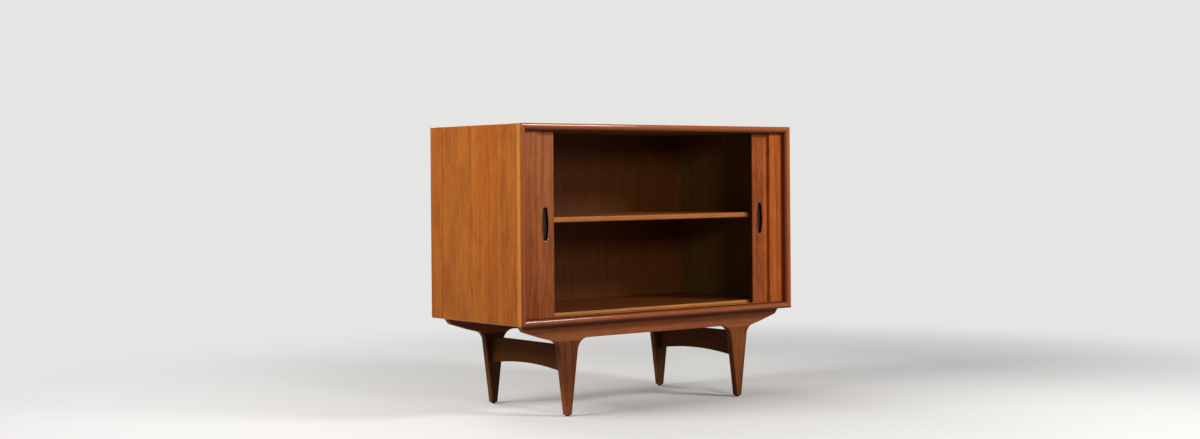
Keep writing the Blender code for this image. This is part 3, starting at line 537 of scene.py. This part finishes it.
def painted_slope_group(name):
    """Painted light and shade on the slopes of a rounded edge that lean one way: a dark tint paints shade,
    a pale tint paints light.
    """
    group, given, result = new_group(
        name,
        [
            ("Colour", "NodeSocketColor", (0.34, 0.08, 0.008, 1)),
            ("Toward", "NodeSocketVector", (0, 0, -1)),
            ("Tint", "NodeSocketColor", (0.30, 0.20, 0.10, 1)),
            ("Start", "NodeSocketFloat", 0.20),
            ("Full", "NodeSocketFloat", 0.85),
        ],
        [("Colour", "NodeSocketColor")],
    )
    normal = add_node(group, "ShaderNodeNewGeometry").outputs["Normal"]
    share = between(group, lean(group, normal, given["Toward"]), given["Start"], given["Full"])
    put_out(group, result, Colour=tinted(group, share, given["Colour"], given["Tint"]))
    return group


def light_gradient_group(name):
    """Painted light that grows toward the top of the wood, with painted shade at the bottom, between two
    levels.
    """
    group, given, result = new_group(
        name,
        [
            ("Vector", "NodeSocketVector", None),
            ("Colour", "NodeSocketColor", (0.34, 0.08, 0.008, 1)),
            ("Bottom", "NodeSocketFloat", 0.28),
            ("Top", "NodeSocketFloat", 0.78),
        ],
        [("Colour", "NodeSocketColor")],
    )
    height = add_node(group, "ShaderNodeSeparateXYZ", {0: given["Vector"]}).outputs[2]
    share = between(group, height, given["Bottom"], given["Top"], kind="LINEAR")
    tint = mixed(group, share, opaque(GRADIENT_SHADE_TINT), opaque(GRADIENT_LIGHT_TINT))
    put_out(group, result, Colour=tinted(group, 1.0, given["Colour"], tint))
    return group


def cloth_weave_group(name):
    """The relief of plain canvas, from threads that cross at right angles."""
    group, given, result = new_group(
        name,
        [("Vector", "NodeSocketVector", None), ("Threads per metre", "NodeSocketFloat", 900.0)],
        [("Height", "NodeSocketFloat")],
    )
    parts = add_node(group, "ShaderNodeSeparateXYZ", {0: given["Vector"]}).outputs
    turn = times(group, given["Threads per metre"], math.pi)
    threads = []
    for run in (total(group, parts[0], parts[1]), parts[2]):
        wave = maths(group, "SINE", times(group, run, turn))
        threads.append(maths(group, "ABSOLUTE", wave))
    put_out(group, result, Height=times(group, *threads))
    return group


def aged_metal_group(name):
    """Small tone and roughness changes of plated or blackened metal."""
    group, given, result = new_group(
        name,
        [
            ("Vector", "NodeSocketVector", None),
            ("Metal", "NodeSocketColor", (0.5, 0.5, 0.5, 1)),
            ("Tarnish", "NodeSocketColor", (0.1, 0.08, 0.06, 1)),
        ],
        [("Colour", "NodeSocketColor"), ("Roughness", "NodeSocketFloat"), ("Height", "NodeSocketFloat")],
    )
    cloud = noise(group, given["Vector"], scale=380.0, detail=3.0, roughness=0.6)
    dull = between(group, cloud, low=0.45, high=0.72, to_high=0.7)
    colour = mixed(group, dull, given["Metal"], given["Tarnish"])
    rough = between(group, cloud, low=0.3, high=0.75, to_low=0.34, to_high=0.60)
    specks = noise(group, given["Vector"], scale=2400.0)
    put_out(group, result, Colour=colour, Roughness=rough, Height=specks)
    return group


# Each shader group's name, and the function that builds it
GROUPS = {
    "Teak grain": teak_grain_group,
    "Worn edge": worn_highlit_edge_group,
    "Tinted slope": painted_slope_group,
    "Sun faded": light_gradient_group,
    "Cloth weave": cloth_weave_group,
    "Aged metal": aged_metal_group,
}


def use_group(tree, name, inputs):
    """Places a shader group in a material, with its inputs set or linked. Its first use builds it."""
    group = bpy.data.node_groups.get(name) or GROUPS[name](name)
    return add_node(tree, "ShaderNodeGroup", inputs, node_tree=group).outputs


def new_material(name):
    """A material with its shader, its tree and the piece's own coordinates."""
    material = bpy.data.materials.new(name)
    material.use_nodes = True
    tree = material.node_tree
    coordinates = add_node(tree, "ShaderNodeTexCoord").outputs["Object"]
    return material, tree, tree.nodes["Principled BSDF"], coordinates


def add_pattern(tree, shader, surface):
    """Feeds a pattern's colour and roughness to the shader."""
    tree.links.new(surface["Colour"], shader.inputs["Base Color"])
    tree.links.new(surface["Roughness"], shader.inputs["Roughness"])


def add_relief(tree, shader, height, strength, depth):
    """Feeds a pattern's relief to the shader."""
    bump = {"Strength": strength, "Distance": depth, "Height": height}
    tree.links.new(add_node(tree, "ShaderNodeBump", bump).outputs[0], shader.inputs["Normal"])


def toned(colour, tones):
    """A colour with each of its channels scaled."""
    return [level * tone for level, tone in zip(colour, tones)]


def teak(name, wood, grain, offset, cut, painted_slopes=(), faded=None):
    """Oiled teak with its grain along one axis. The offset picks another part of the same log.

    Each painted slope is a direction, the tint that paints shade where it is dark and light where it is
    pale on the edges that lean that way, and the leans where it starts and is full. The light gradient
    paints the wood paler toward its top and in shade toward its bottom, between two levels.
    """
    finish = OILED | CUTS[cut]
    material, tree, shader, coordinates = new_material(name)
    shader.inputs["Specular IOR Level"].default_value = finish["gloss"]
    mapping = {"Vector": coordinates, "Location": offset, "Rotation": GRAIN_TURN[grain]}
    figure = {
        "Vector": add_node(tree, "ShaderNodeMapping", mapping).outputs[0],
        "Wood": opaque(wood),
        "Band width": finish["band_width"],
        "Contrast": finish["contrast"],
        "Cloudiness": finish["clouds"],
        "Roughness": finish["rough"],
    }
    grained = use_group(tree, "Teak grain", figure)
    colour = grained["Colour"]
    for toward, tint, start, full in painted_slopes:
        slope = {"Colour": colour, "Toward": toward, "Tint": opaque(tint), "Start": start, "Full": full}
        colour = use_group(tree, "Tinted slope", slope)["Colour"]
    if faded:
        bottom, top = faded
        levels = {"Vector": coordinates, "Colour": colour, "Bottom": bottom, "Top": top}
        colour = use_group(tree, "Sun faded", levels)["Colour"]
    wear = {"Vector": coordinates, "Colour": colour, "Wear": finish["wear"]}
    wear["Roughness"] = grained["Roughness"]
    add_pattern(tree, shader, use_group(tree, "Worn edge", wear))
    add_relief(tree, shader, grained["Height"], finish["relief"], depth=0.00012)
    return material


def canvas_cloth(name, colour):
    """Plain cloth with its weave in relief."""
    material, tree, shader, coordinates = new_material(name)
    shader.inputs["Base Color"].default_value = opaque(colour)
    shader.inputs["Specular IOR Level"].default_value = 0.2
    shader.inputs["Roughness"].default_value = 0.9
    weave = use_group(tree, "Cloth weave", {"Vector": coordinates})
    add_relief(tree, shader, weave["Height"], strength=0.5, depth=0.0002)
    return material


def aged_metal(name, metal, tarnish):
    """Metal that has tarnished in patches."""
    material, tree, shader, coordinates = new_material(name)
    shader.inputs["Metallic"].default_value = 1.0
    inputs = {"Vector": coordinates, "Metal": opaque(metal), "Tarnish": opaque(tarnish)}
    surface = use_group(tree, "Aged metal", inputs)
    add_pattern(tree, shader, surface)
    add_relief(tree, shader, surface["Height"], strength=0.15, depth=0.00005)
    return material


def planed(node):
    """A workable copy of a CAD piece: doubles merged and flat faces made whole."""
    bm = bmesh.new()
    bm.from_mesh(frame["nodes"][node].data)
    bmesh.ops.remove_doubles(bm, verts=bm.verts, dist=WELD)
    bmesh.ops.dissolve_limit(bm, angle_limit=FLAT_ANGLE, verts=bm.verts, edges=bm.edges)
    return bm


def everything(bm):
    return bm.verts[:] + bm.edges[:] + bm.faces[:]


def soften(bm, edges, width, steps=2):
    bmesh.ops.bevel(
        bm,
        geom=list(edges),
        offset=width,
        segments=steps,
        profile=0.5,
        affect="EDGES",
        clamp_overlap=True,
        material=-1,
    )


def add_piece(bm, name, materials):
    """Makes the object of a piece, with smooth curves, crisp arrises and flat faces that shade flat."""
    bmesh.ops.recalc_face_normals(bm, faces=bm.faces)
    mesh = bpy.data.meshes.new(name)
    bm.to_mesh(mesh)
    bm.free()
    mesh.shade_smooth()
    mesh.set_sharp_from_angle(angle=SHARP_ANGLE)
    for material in materials:
        mesh.materials.append(material)
    piece = bpy.data.objects.new(name, mesh)
    bpy.context.scene.collection.objects.link(piece)
    normals = piece.modifiers.new("Flat faces", "WEIGHTED_NORMAL")
    normals.keep_sharp = True
    return piece


def dress(node, bm, name, materials):
    """Puts a piece in the place of one CAD node, on the same body."""
    piece = add_piece(bm, name, materials)
    source = frame["nodes"][node]
    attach(piece, source["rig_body"])
    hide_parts(node)
    return piece


def lies_at(element, axis, place):
    return all(abs(vert.co[axis] - place) < WELD for vert in element.verts)


def add_lipping(bm, front, width):
    """Parts the solid front edge from the veneered board behind it. The edge gets the second material."""
    joint = front + width
    bmesh.ops.bisect_plane(bm, geom=everything(bm), plane_co=(0, joint, 0), plane_no=(0, 1, 0))
    for face in bm.faces:
        face.material_index = 1 if face.calc_center_median().y < joint else 0


def sort_board_faces(bm, outward):
    """Gives each kind of face of a case board its material.

    The veneer has the first already, and the front edge the second. The nose and the inner side of the
    front edge get the third, the rounded corners the fourth, and the board's inner face the fifth.
    """
    for face in bm.faces:
        inner = face.normal.dot(outward) < -SIDE_LEAN
        if face.normal.y < -NOSE_LEAN or (inner and face.material_index == 1):
            face.material_index = 2
        elif min(abs(face.normal.x), abs(face.normal.z)) > CORNER_LEAN:
            face.material_index = 3
        elif inner:
            face.material_index = 4


def nose_arrises(bm, outward):
    """Edges where the outer face of a case board turns into its nose, round the corners too."""
    found = []
    for edge in bm.edges:
        if len(edge.link_faces) != 2 or edge.calc_face_angle() < SHARP_ANGLE:
            continue
        level, turned = sorted(edge.link_faces, key=lambda face: -face.normal.y)
        is_outer = abs(level.normal.y) < LEVEL_LEAN and level.normal.dot(outward) > SIDE_LEAN
        if is_outer and turned.normal.y < -NOSE_LEAN:
            found.append(edge)
    return found


def board_woods(node, colours):
    """A case board's woods: its veneer, front edge, nose, rounded corners and inner veneer."""
    name, outward, grain, offset = CASE_BOARDS[node]
    board_light = BOARD_PAINTED_LIGHT.get(node, {})
    inward = [-way for way in outward]
    # Painted shade on the nose's inner slope, and on its outer slope where the board has one
    painted_slopes = [(inward, board_light.get("inner", NOSE_PAINTED_SHADE), *board_light.get("inner_leans", INNER_LEANS))]
    if "outer" in board_light:
        painted_slopes.append((outward, board_light["outer"], *OUTER_LEANS))
    low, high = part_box(node)
    # The left board's nose gets the painted light gradient: paler at its top, in painted shade at its
    # bottom
    faded = (low.z, high.z) if node == "left_side" else None
    crown = toned(colours.nose, board_light.get("tone", PLAIN))
    inside = toned(colours.case, board_light.get("inside", PLAIN))
    return [
        teak(f"{name}_veneer", colours.case, grain, offset, "case_veneer"),
        teak(f"{name}_lipping", colours.lipping, grain, offset[::-1], "lipping"),
        teak(f"{name}_nose", crown, grain, offset[::-1], "nose", painted_slopes, faded),
        teak(f"{name}_corner", colours.case, grain, offset, "corner"),
        teak(f"{name}_inner_veneer", inside, grain, offset, "case_veneer"),
    ]


class CABINET_OT_case(bpy.types.Operator):
    """Dress the four mitred case boards in veneer, with solid front edges"""

    bl_idname = "cabinet.case"
    bl_label = "Case"

    def execute(self, context):
        shapes = context.scene.cabinet_shapes
        front, back = CAD_BOX[0].y, CAD_BOX[1].y
        for node, (name, outward, _, _) in CASE_BOARDS.items():
            bm = planed(node)
            outward = Vector(outward)
            arrises = nose_arrises(bm, outward)
            if not arrises:
                raise RuntimeError(f"{node} has no nose arris")
            soften(bm, arrises, shapes.nose_arris)
            at_back = [edge for edge in bm.edges if lies_at(edge, 1, back)]
            soften(bm, [edge for edge in at_back if edge.calc_length() > LONG_EDGE], shapes.board_arris)
            add_lipping(bm, front, shapes.lipping_width)
            sort_board_faces(bm, outward)
            dress(node, bm, name, board_woods(node, context.scene.cabinet_finishes))
        return {"FINISHED"}


class CABINET_OT_inside(bpy.types.Operator):
    """Dress the back, inner walls, raised floor and shelf"""

    bl_idname = "cabinet.inside"
    bl_label = "Inside"

    def execute(self, context):
        colours = context.scene.cabinet_finishes
        for side, offset in (("left", (0.2, 0.9, 0.4)), ("right", (0.7, 0.3, 0.6))):
            colour = getattr(colours, f"{side}_wall")
            wall = teak(f"{side}_inner_wall_veneer", colour, "Z", offset, "inner_wall")
            dress(f"{side}_partition", planed(f"{side}_partition"), f"{side}_inner_wall", [wall])
        back = teak("back_veneer", colours.back, "Z", (0.6, 0.1, 0.7), "back")
        ply = teak("back_ply", colours.ply, "X", (0.1, 0.5, 0.3), "ply")
        bm = planed("back_panel")
        inner = min(vert.co.y for vert in bm.verts)
        for face in bm.faces:
            face.material_index = 0 if lies_at(face, 1, inner) else 1
        dress("back_panel", bm, "back_board", [back, ply])
        for node, name, wood, edge, offset in (
            ("interior_floor", "raised_floor", colours.floor, colours.floor_edge, (0.4, 0.3, 0.2)),
            ("shelf", "shelf_board", colours.shelf, colours.shelf_edge, (0.9, 0.2, 0.6)),
        ):
            bm = planed(node)
            add_lipping(bm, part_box(node)[0].y, LIPPING_ON[node])
            veneer = teak(f"{name}_veneer", wood, "X", offset, "inside_veneer")
            solid = teak(f"{name}_edge", edge, "X", offset[::-1], "inside_edge")
            dress(node, bm, name, [veneer, solid])
        return {"FINISHED"}


class CABINET_OT_doors(bpy.types.Operator):
    """Dress the fixed posts and the lead stiles with their finger recesses"""

    bl_idname = "cabinet.doors"
    bl_label = "Posts and stiles"

    def execute(self, context):
        colours = context.scene.cabinet_finishes
        lip = context.scene.cabinet_shapes.recess_lip
        # The recess wood, dark with painted shade, and darker still on its left-facing wall
        recess_shaded = teak("recess_bare_wood", colours.recess, "Z", (0.3, 0.3, 0.3), "recess", RECESS_PAINTED_SHADE)
        for side, offset in (("left", (0.37, 0.12, 0.44)), ("right", (0.83, 0.71, 0.15))):
            node, name, other = f"{side}_lead_stile", f"{side}_stile", offset[::-1]
            low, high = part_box(node)
            # The left post and stile get the painted light gradient: paler at the top, in painted shade at
            # the bottom
            faded = (low.z, high.z) if side == "left" else None
            colour = getattr(colours, f"{side}_post")
            post = teak(f"{side}_post_teak", colour, "Z", offset, "post", faded=faded)
            dress(f"{side}_front_post", planed(f"{side}_front_post"), f"{side}_post", [post])
            bm = planed(node)
            shape_stile(bm, side, low, high, lip)
            colour = getattr(colours, name)
            wood = teak(f"{side}_stile_teak", colour, "Z", other, name, STILE_PAINTED_SHADE[side], faded)
            strip = teak(f"{side}_rubbed_teak", toned(colour, PALE_STRIP_TONES), "Z", offset, name, faded=faded)
            rim = teak(f"{side}_recess_rim", colour, "Z", other, "recess_rim")
            dress(node, bm, name, [wood, recess_shaded, rim, strip])
        return {"FINISHED"}


def shape_stile(bm, side, low, high, lip):
    """Rounds the mouth of the finger recess, parts off the paler strip, and sorts the faces by material.

    The recess gets the second material, its rim the third, and the paler strip the fourth.
    """
    outward = -1 if side == "left" else 1
    pale_from = low.x + PALE_STRIP_WIDTH if side == "left" else high.x - PALE_STRIP_WIDTH
    bmesh.ops.bisect_plane(bm, geom=everything(bm), plane_co=(pale_from, 0, 0), plane_no=(1, 0, 0))
    mouth = [edge for edge in bm.edges if in_recess(edge, low, high) and lies_at(edge, 1, low.y)]
    soften(bm, mouth, lip, 3)
    for face in bm.faces:
        middle = face.calc_center_median()
        depth = middle.y - low.y
        if in_recess(face, low, high) and depth > WELD:
            face.material_index = 1 if depth > lip else 2
        elif (middle.x - pale_from) * outward > 0:
            face.material_index = 3
        else:
            face.material_index = 0


def in_recess(element, low, high):
    """Whether an edge or face lies well inside the stile's front outline, where only the recess is."""
    middle = (low + high) / 2
    reach = (high.x - low.x) * RECESS_REACH
    tall = (high.z - low.z) * RECESS_TALL
    away = [vert.co - middle for vert in element.verts]
    return all(abs(gap.x) < reach and abs(gap.z) < tall and gap.y < reach for gap in away)


class CABINET_OT_curtains(bpy.types.Operator):
    """Make the slatted curtains: the run in each side pocket, and the run that the stile draws along"""

    bl_idname = "cabinet.curtains"
    bl_label = "Curtains"

    def execute(self, context):
        colours = context.scene.cabinet_finishes
        canvas = canvas_cloth("curtain_canvas", colours.canvas)
        for side, sign in (("left", -1), ("right", 1)):
            slats = teak(f"{side}_slat_teak", colours.slats, "Z", (0.21 * sign, 0.47, 0.63), "slat")
            pocket_run(side, sign, [slats, canvas])
            front_run(side, sign, [slats, canvas], context.scene.cabinet_shapes)
        return {"FINISHED"}


def pocket_run(side, sign, materials):
    """The curtain in its open place, from past the bend to its tail. It stays with the case."""
    node = f"{side}_tambour"
    bm = planed(node)
    low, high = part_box(node)
    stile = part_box(f"{side}_lead_stile")
    track_y = (stile[0].y + stile[1].y) / 2
    outside = high.x if sign > 0 else low.x
    bend = Vector((outside - sign * BEND_INSET, track_y + BEND_DEPTH, 0))
    heading = Vector((sign * math.cos(BEND_TURN), math.sin(BEND_TURN), 0))
    bmesh.ops.bisect_plane(bm, geom=everything(bm), plane_co=bend, plane_no=heading, clear_inner=True)
    bmesh.ops.holes_fill(bm, edges=[edge for edge in bm.edges if edge.is_boundary])
    bmesh.ops.recalc_face_normals(bm, faces=bm.faces)
    for face in bm.faces:
        is_canvas = face.normal.x * sign < -CANVAS_LEAN and face.calc_area() > CANVAS_AREA
        face.material_index = 1 if is_canvas else 0
    piece = add_piece(bm, f"{side}_curtain_pocket_run", materials)
    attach(piece, "case")


def front_run(side, sign, materials, shapes):
    """The curtain along the front. It is drawn as it hangs when shut, then gathered behind the post."""
    stile_low, stile_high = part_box(f"{side}_lead_stile")
    low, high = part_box(f"{side}_tambour")
    post_low, post_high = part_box(f"{side}_front_post")
    travel = next(joint for joint in frame["joints"] if joint["name"] == f"{side}_door_slide")["range_m"][1]
    tail = (stile_high.x if sign > 0 else -stile_low.x) + RUN_CLEARANCE
    parked = (post_high.x if sign > 0 else -post_low.x) - RUN_CLEARANCE
    cloth_line = (stile_low.y + stile_high.y + shapes.slat_thickness - shapes.canvas_thickness) / 2
    bm = bmesh.new()
    draw_curtain(bm, tail - travel, parked, cloth_line, low.z, shapes)
    pulled = bmesh.ops.extrude_face_region(bm, geom=bm.faces[:])
    top = [item for item in pulled["geom"] if isinstance(item, bmesh.types.BMVert)]
    bmesh.ops.translate(bm, verts=top, vec=(0, 0, high.z - low.z))
    for vert in bm.verts:
        vert.co.x = sign * gathered(vert.co.x, tail, parked, travel)
    piece = add_piece(bm, f"{side}_curtain_front_run", materials)
    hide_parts(f"{side}_tambour")
    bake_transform(piece)


def draw_curtain(bm, start, end, cloth_line, level, shapes):
    """Draws the outlines of the canvas and of each crowned slat, as faces at one level."""
    count = int((end - start) / shapes.slat_pitch)
    ends = [(start - CANVAS_TUCK, cloth_line), (start + count * shapes.slat_pitch, cloth_line)]
    strip = [bm.verts.new((x, y, level)) for x, y in ends]
    strip += [bm.verts.new((x, y + shapes.canvas_thickness, level)) for x, y in ends[::-1]]
    strip = bm.faces.new(strip)
    long_sides = [strip.edges[0], strip.edges[2]]
    bmesh.ops.subdivide_edges(bm, edges=long_sides, cuts=count * 2, use_grid_fill=True)
    for face in bm.faces:
        face.material_index = 1
    outline = [(-1, 0)]
    for step in range(2 * CROWN_STEPS + 1):
        share = step / CROWN_STEPS - 1
        fall = shapes.slat_crown * (share**2 + share**8 * CROWN_SHOULDER)
        outline.append((share, shapes.slat_thickness - fall))
    outline.append((1, 0))
    reach = (shapes.slat_pitch - shapes.slat_gap) / 2
    for index in range(count):
        middle = start + (index + 0.5) * shapes.slat_pitch
        points = [(middle + share * reach, cloth_line - WELD - height, level) for share, height in outline]
        bm.faces.new([bm.verts.new(point) for point in points])


def gathered(shut, tail, parked, travel):
    """Where a point of the shut curtain waits while the door is open.

    Between the parked end and the stile, the blend moves a point by a smooth share of the travel.
    """
    if shut <= tail - travel:
        return shut + travel
    low, high = 0.0, 1.0
    for _ in range(50):
        share = (low + high) / 2
        moved = parked + (tail - parked) * share - travel * share * share * (3 - 2 * share)
        low, high = (share, high) if moved > shut else (low, share)
    return parked + (tail - parked) * low


class CABINET_OT_base(bpy.types.Operator):
    """Dress the rails, legs and stretchers"""

    bl_idname = "cabinet.base"
    bl_label = "Base"

    def execute(self, context):
        colours = context.scene.cabinet_finishes
        for number, end in enumerate(("front", "rear")):
            offset = (0.15 + number * 0.4, 0.35, 0.55)
            rail = teak(f"{end}_rail_teak", colours.rail, "X", offset, "rail", RAIL_PAINTED_LIGHT)
            dress(f"{end}_rail", planed(f"{end}_rail"), f"{end}_rail_board", [rail])
            for side, step in (("left", 0.1), ("right", 0.7)):
                name = f"{end}_{side}"
                offset = (0.25 + step, 0.65 + number * 0.3, 0.05 + step)
                colour = toned(colours.leg, LEG_PAINTED_TONES[name])
                leg = teak(f"{name}_leg_teak", colour, "Z", offset, "leg", LEG_PAINTED_LIGHT[side])
                dress(f"{name}_leg", planed(f"{name}_leg"), f"{name}_foot_leg", [leg])
        for side, step in (("left", 0.2), ("right", 0.8)):
            wood = teak(f"{side}_stretcher_teak", colours.stretcher, "Y", (step, 0.45, 0.95), "stretcher")
            dress(f"{side}_stretcher", planed(f"{side}_stretcher"), f"{side}_stretcher_board", [wood])
        return {"FINISHED"}


class CABINET_OT_hardware(bpy.types.Operator):
    """Make the screws, shelf pins and glides"""

    bl_idname = "cabinet.hardware"
    bl_label = "Hardware"

    def execute(self, context):
        colours = context.scene.cabinet_finishes
        shapes = context.scene.cabinet_shapes
        steel = aged_metal("screw_steel_aged", colours.steel, STEEL_TARNISH)
        brass = aged_metal("pin_brass_aged", colours.brass, BRASS_TARNISH)
        black = aged_metal("glide_steel_black", colours.black_steel, BLACK_TARNISH)
        for node in sorted(frame["nodes"]):
            if "screw" in node:
                bm = planed(node)
                cut_slot(bm, Vector((0, 1, 0)) if node.startswith("back") else Vector((0, 0, -1)), shapes)
                dress(node, bm, f"{node}_slotted", [steel])
            elif "pin" in node:
                dress(node, planed(node), f"{node}_turned", [brass])
            elif "glide" in node:
                dress(node, planed(node), f"{node}_domed", [black])
        return {"FINISHED"}


def parts_of(faces, kind):
    """The edges or corners of some faces, each of them once and in order."""
    return list(dict.fromkeys(part for face in faces for part in getattr(face, kind)))


def cut_slot(bm, facing, shapes):
    """Presses a driver slot into the flat head of a screw."""
    head_at = max(vert.co.dot(facing) for vert in bm.verts)

    def on_head(face):
        return all(abs(vert.co.dot(facing) - head_at) < WELD for vert in face.verts)

    rim = parts_of([face for face in bm.faces if on_head(face)], "verts")
    centre = sum((vert.co for vert in rim), Vector()) / len(rim)
    level = Vector((0, 0, 1)) if abs(facing.y) > 0.5 else Vector((0, 1, 0))
    across = Matrix.Rotation(SLOT_TURN, 3, facing) @ level
    for side in (-1, 1):
        live = [face for face in bm.faces if on_head(face)]
        geometry = live + parts_of(live, "edges") + parts_of(live, "verts")
        cut = centre + across * side * shapes.slot_width / 2
        bmesh.ops.bisect_plane(bm, geom=geometry, plane_co=cut, plane_no=across)
    slot = [
        face
        for face in bm.faces
        if on_head(face) and abs((face.calc_center_median() - centre).dot(across)) < shapes.slot_width / 2
    ]
    bmesh.ops.inset_region(bm, faces=slot, thickness=SLOT_WALL, depth=0)
    bmesh.ops.translate(bm, verts=parts_of(slot, "verts"), vec=facing * -shapes.slot_depth)


class CABINET_OT_stage(bpy.types.Operator):
    """Set up the floor, the lamps, the room light and the camera"""

    bl_idname = "cabinet.stage"
    bl_label = "Stage"

    def execute(self, context):
        stage = context.scene.cabinet_stage
        context.scene.view_settings.view_transform = "Standard"
        build_floor(stage)
        build_room(context.scene, stage)
        for name, power, place, target, width, height in LAMPS:
            add_lamp(name, getattr(stage, power), place, target, width, height)
        build_camera(context.scene)
        return {"FINISHED"}


def backdrop_rays(tree):
    """One for the rays that see the pale backdrop: straight, mirrored or through a clear piece."""
    path = add_node(tree, "ShaderNodeLightPath").outputs
    mirrored = maths(tree, "MAXIMUM", path["Is Glossy Ray"], path["Is Transmission Ray"])
    return maths(tree, "MAXIMUM", path["Is Camera Ray"], mirrored)


def build_floor(stage):
    """A wide pale floor that fades into the backdrop. It gives back less light than it shows."""
    bm = bmesh.new()
    bmesh.ops.create_circle(bm, cap_ends=True, segments=96, radius=FLOOR_RADIUS)
    mesh = bpy.data.meshes.new("studio_floor")
    bm.to_mesh(mesh)
    bm.free()
    floor = bpy.data.objects.new("studio_floor", mesh)
    bpy.context.scene.collection.objects.link(floor)
    material, tree, shader, coordinates = new_material("studio_floor_paper")
    shader.inputs["Roughness"].default_value = 0.9
    shader.inputs["Specular IOR Level"].default_value = 0.1
    seen = backdrop_rays(tree)
    paper = mixed(tree, seen, opaque(stage.bounce), opaque(stage.floor))
    tree.links.new(paper, shader.inputs["Base Color"])
    away = vector_maths(tree, "DISTANCE", coordinates, FADE_CENTRE)["Value"]
    share = times(tree, between(tree, away, *FADE_RADII), seen)
    glow = add_node(tree, "ShaderNodeEmission", {"Color": opaque(stage.backdrop), "Strength": 1.0})
    blend = add_node(tree, "ShaderNodeMixShader", {0: share, 1: shader.outputs[0], 2: glow.outputs[0]})
    tree.links.new(blend.outputs[0], tree.nodes["Material Output"].inputs["Surface"])
    mesh.materials.append(material)


def build_room(scene, stage):
    """Even light from all round, with the backdrop's colour where the camera or a clear piece looks."""
    world = bpy.data.worlds.new("studio_room")
    world.use_nodes = True
    tree = world.node_tree
    tree.nodes.clear()
    seen = backdrop_rays(tree)
    room = add_node(tree, "ShaderNodeBackground", {"Color": (1, 1, 1, 1), "Strength": stage.room_level})
    backdrop = add_node(tree, "ShaderNodeBackground", {"Color": opaque(stage.backdrop), "Strength": 1.0})
    both = add_node(tree, "ShaderNodeMixShader", {0: seen, 1: room.outputs[0], 2: backdrop.outputs[0]})
    output = add_node(tree, "ShaderNodeOutputWorld")
    tree.links.new(both.outputs[0], output.inputs["Surface"])
    scene.world = world


def add_lamp(name, power, place, target, width, height):
    """A soft rectangular lamp that faces a point."""
    data = bpy.data.lights.new(name, "AREA")
    data.shape = "RECTANGLE"
    data.size = width
    data.size_y = height
    data.energy = power
    lamp = bpy.data.objects.new(name, data)
    lamp.location = place
    lamp.rotation_euler = (Vector(target) - Vector(place)).to_track_quat("-Z", "Y").to_euler()
    bpy.context.scene.collection.objects.link(lamp)


def build_camera(scene):
    """The camera at the photograph's place, heading and lens, for a frame of 1200 by 439."""
    heading, tilt, roll = CAMERA_TURNS
    forward = Vector(
        (math.sin(heading) * math.cos(tilt), math.cos(heading) * math.cos(tilt), math.sin(tilt))
    )
    level = Vector((math.cos(heading), -math.sin(heading), 0))
    upright = level.cross(forward)
    right = level * math.cos(roll) + upright * math.sin(roll)
    up = upright * math.cos(roll) - level * math.sin(roll)
    turn = Matrix((right, up, -forward)).transposed().to_4x4()
    data = bpy.data.cameras.new("camera")
    data.sensor_width = 36.0
    data.lens = 50.754
    data.shift_x = 0.0013
    data.shift_y = -0.0312
    camera = bpy.data.objects.new("camera", data)
    camera.matrix_world = Matrix.Translation(CAMERA_PLACE) @ turn
    scene.collection.objects.link(camera)
    scene.camera = camera


class CABINET_PT_sidebar(bpy.types.Panel):
    """Lists the cabinet's pieces, finishes and stage"""

    bl_idname = "CABINET_PT_sidebar"
    bl_label = "Tambour Cabinet"
    bl_space_type = "VIEW_3D"
    bl_region_type = "UI"
    bl_category = "Cabinet"

    def draw(self, context):
        for operator in OPERATORS:
            self.layout.operator(operator.bl_idname)
        for group_name, group in SETTINGS:
            box = self.layout.box()
            for name in group.__annotations__:
                box.prop(getattr(context.scene, group_name), name)


OPERATORS = (
    CABINET_OT_case,
    CABINET_OT_inside,
    CABINET_OT_doors,
    CABINET_OT_curtains,
    CABINET_OT_base,
    CABINET_OT_hardware,
    CABINET_OT_stage,
)
SETTINGS = (
    ("cabinet_finishes", CabinetFinishes),
    ("cabinet_shapes", CabinetShapes),
    ("cabinet_stage", CabinetStage),
)


def register():
    for name, group in SETTINGS:
        bpy.utils.register_class(group)
        setattr(bpy.types.Scene, name, PointerProperty(type=group))
    for item in (*OPERATORS, CABINET_PT_sidebar):
        bpy.utils.register_class(item)


def unregister():
    for item in (CABINET_PT_sidebar, *reversed(OPERATORS)):
        bpy.utils.unregister_class(item)
    for name, group in reversed(SETTINGS):
        delattr(bpy.types.Scene, name)
        bpy.utils.unregister_class(group)


def main():
    register()
    bpy.ops.cabinet.case()
    bpy.ops.cabinet.inside()
    bpy.ops.cabinet.doors()
    bpy.ops.cabinet.curtains()
    bpy.ops.cabinet.base()
    bpy.ops.cabinet.hardware()
    bpy.ops.cabinet.stage()


if __name__ == "__main__":
    main()
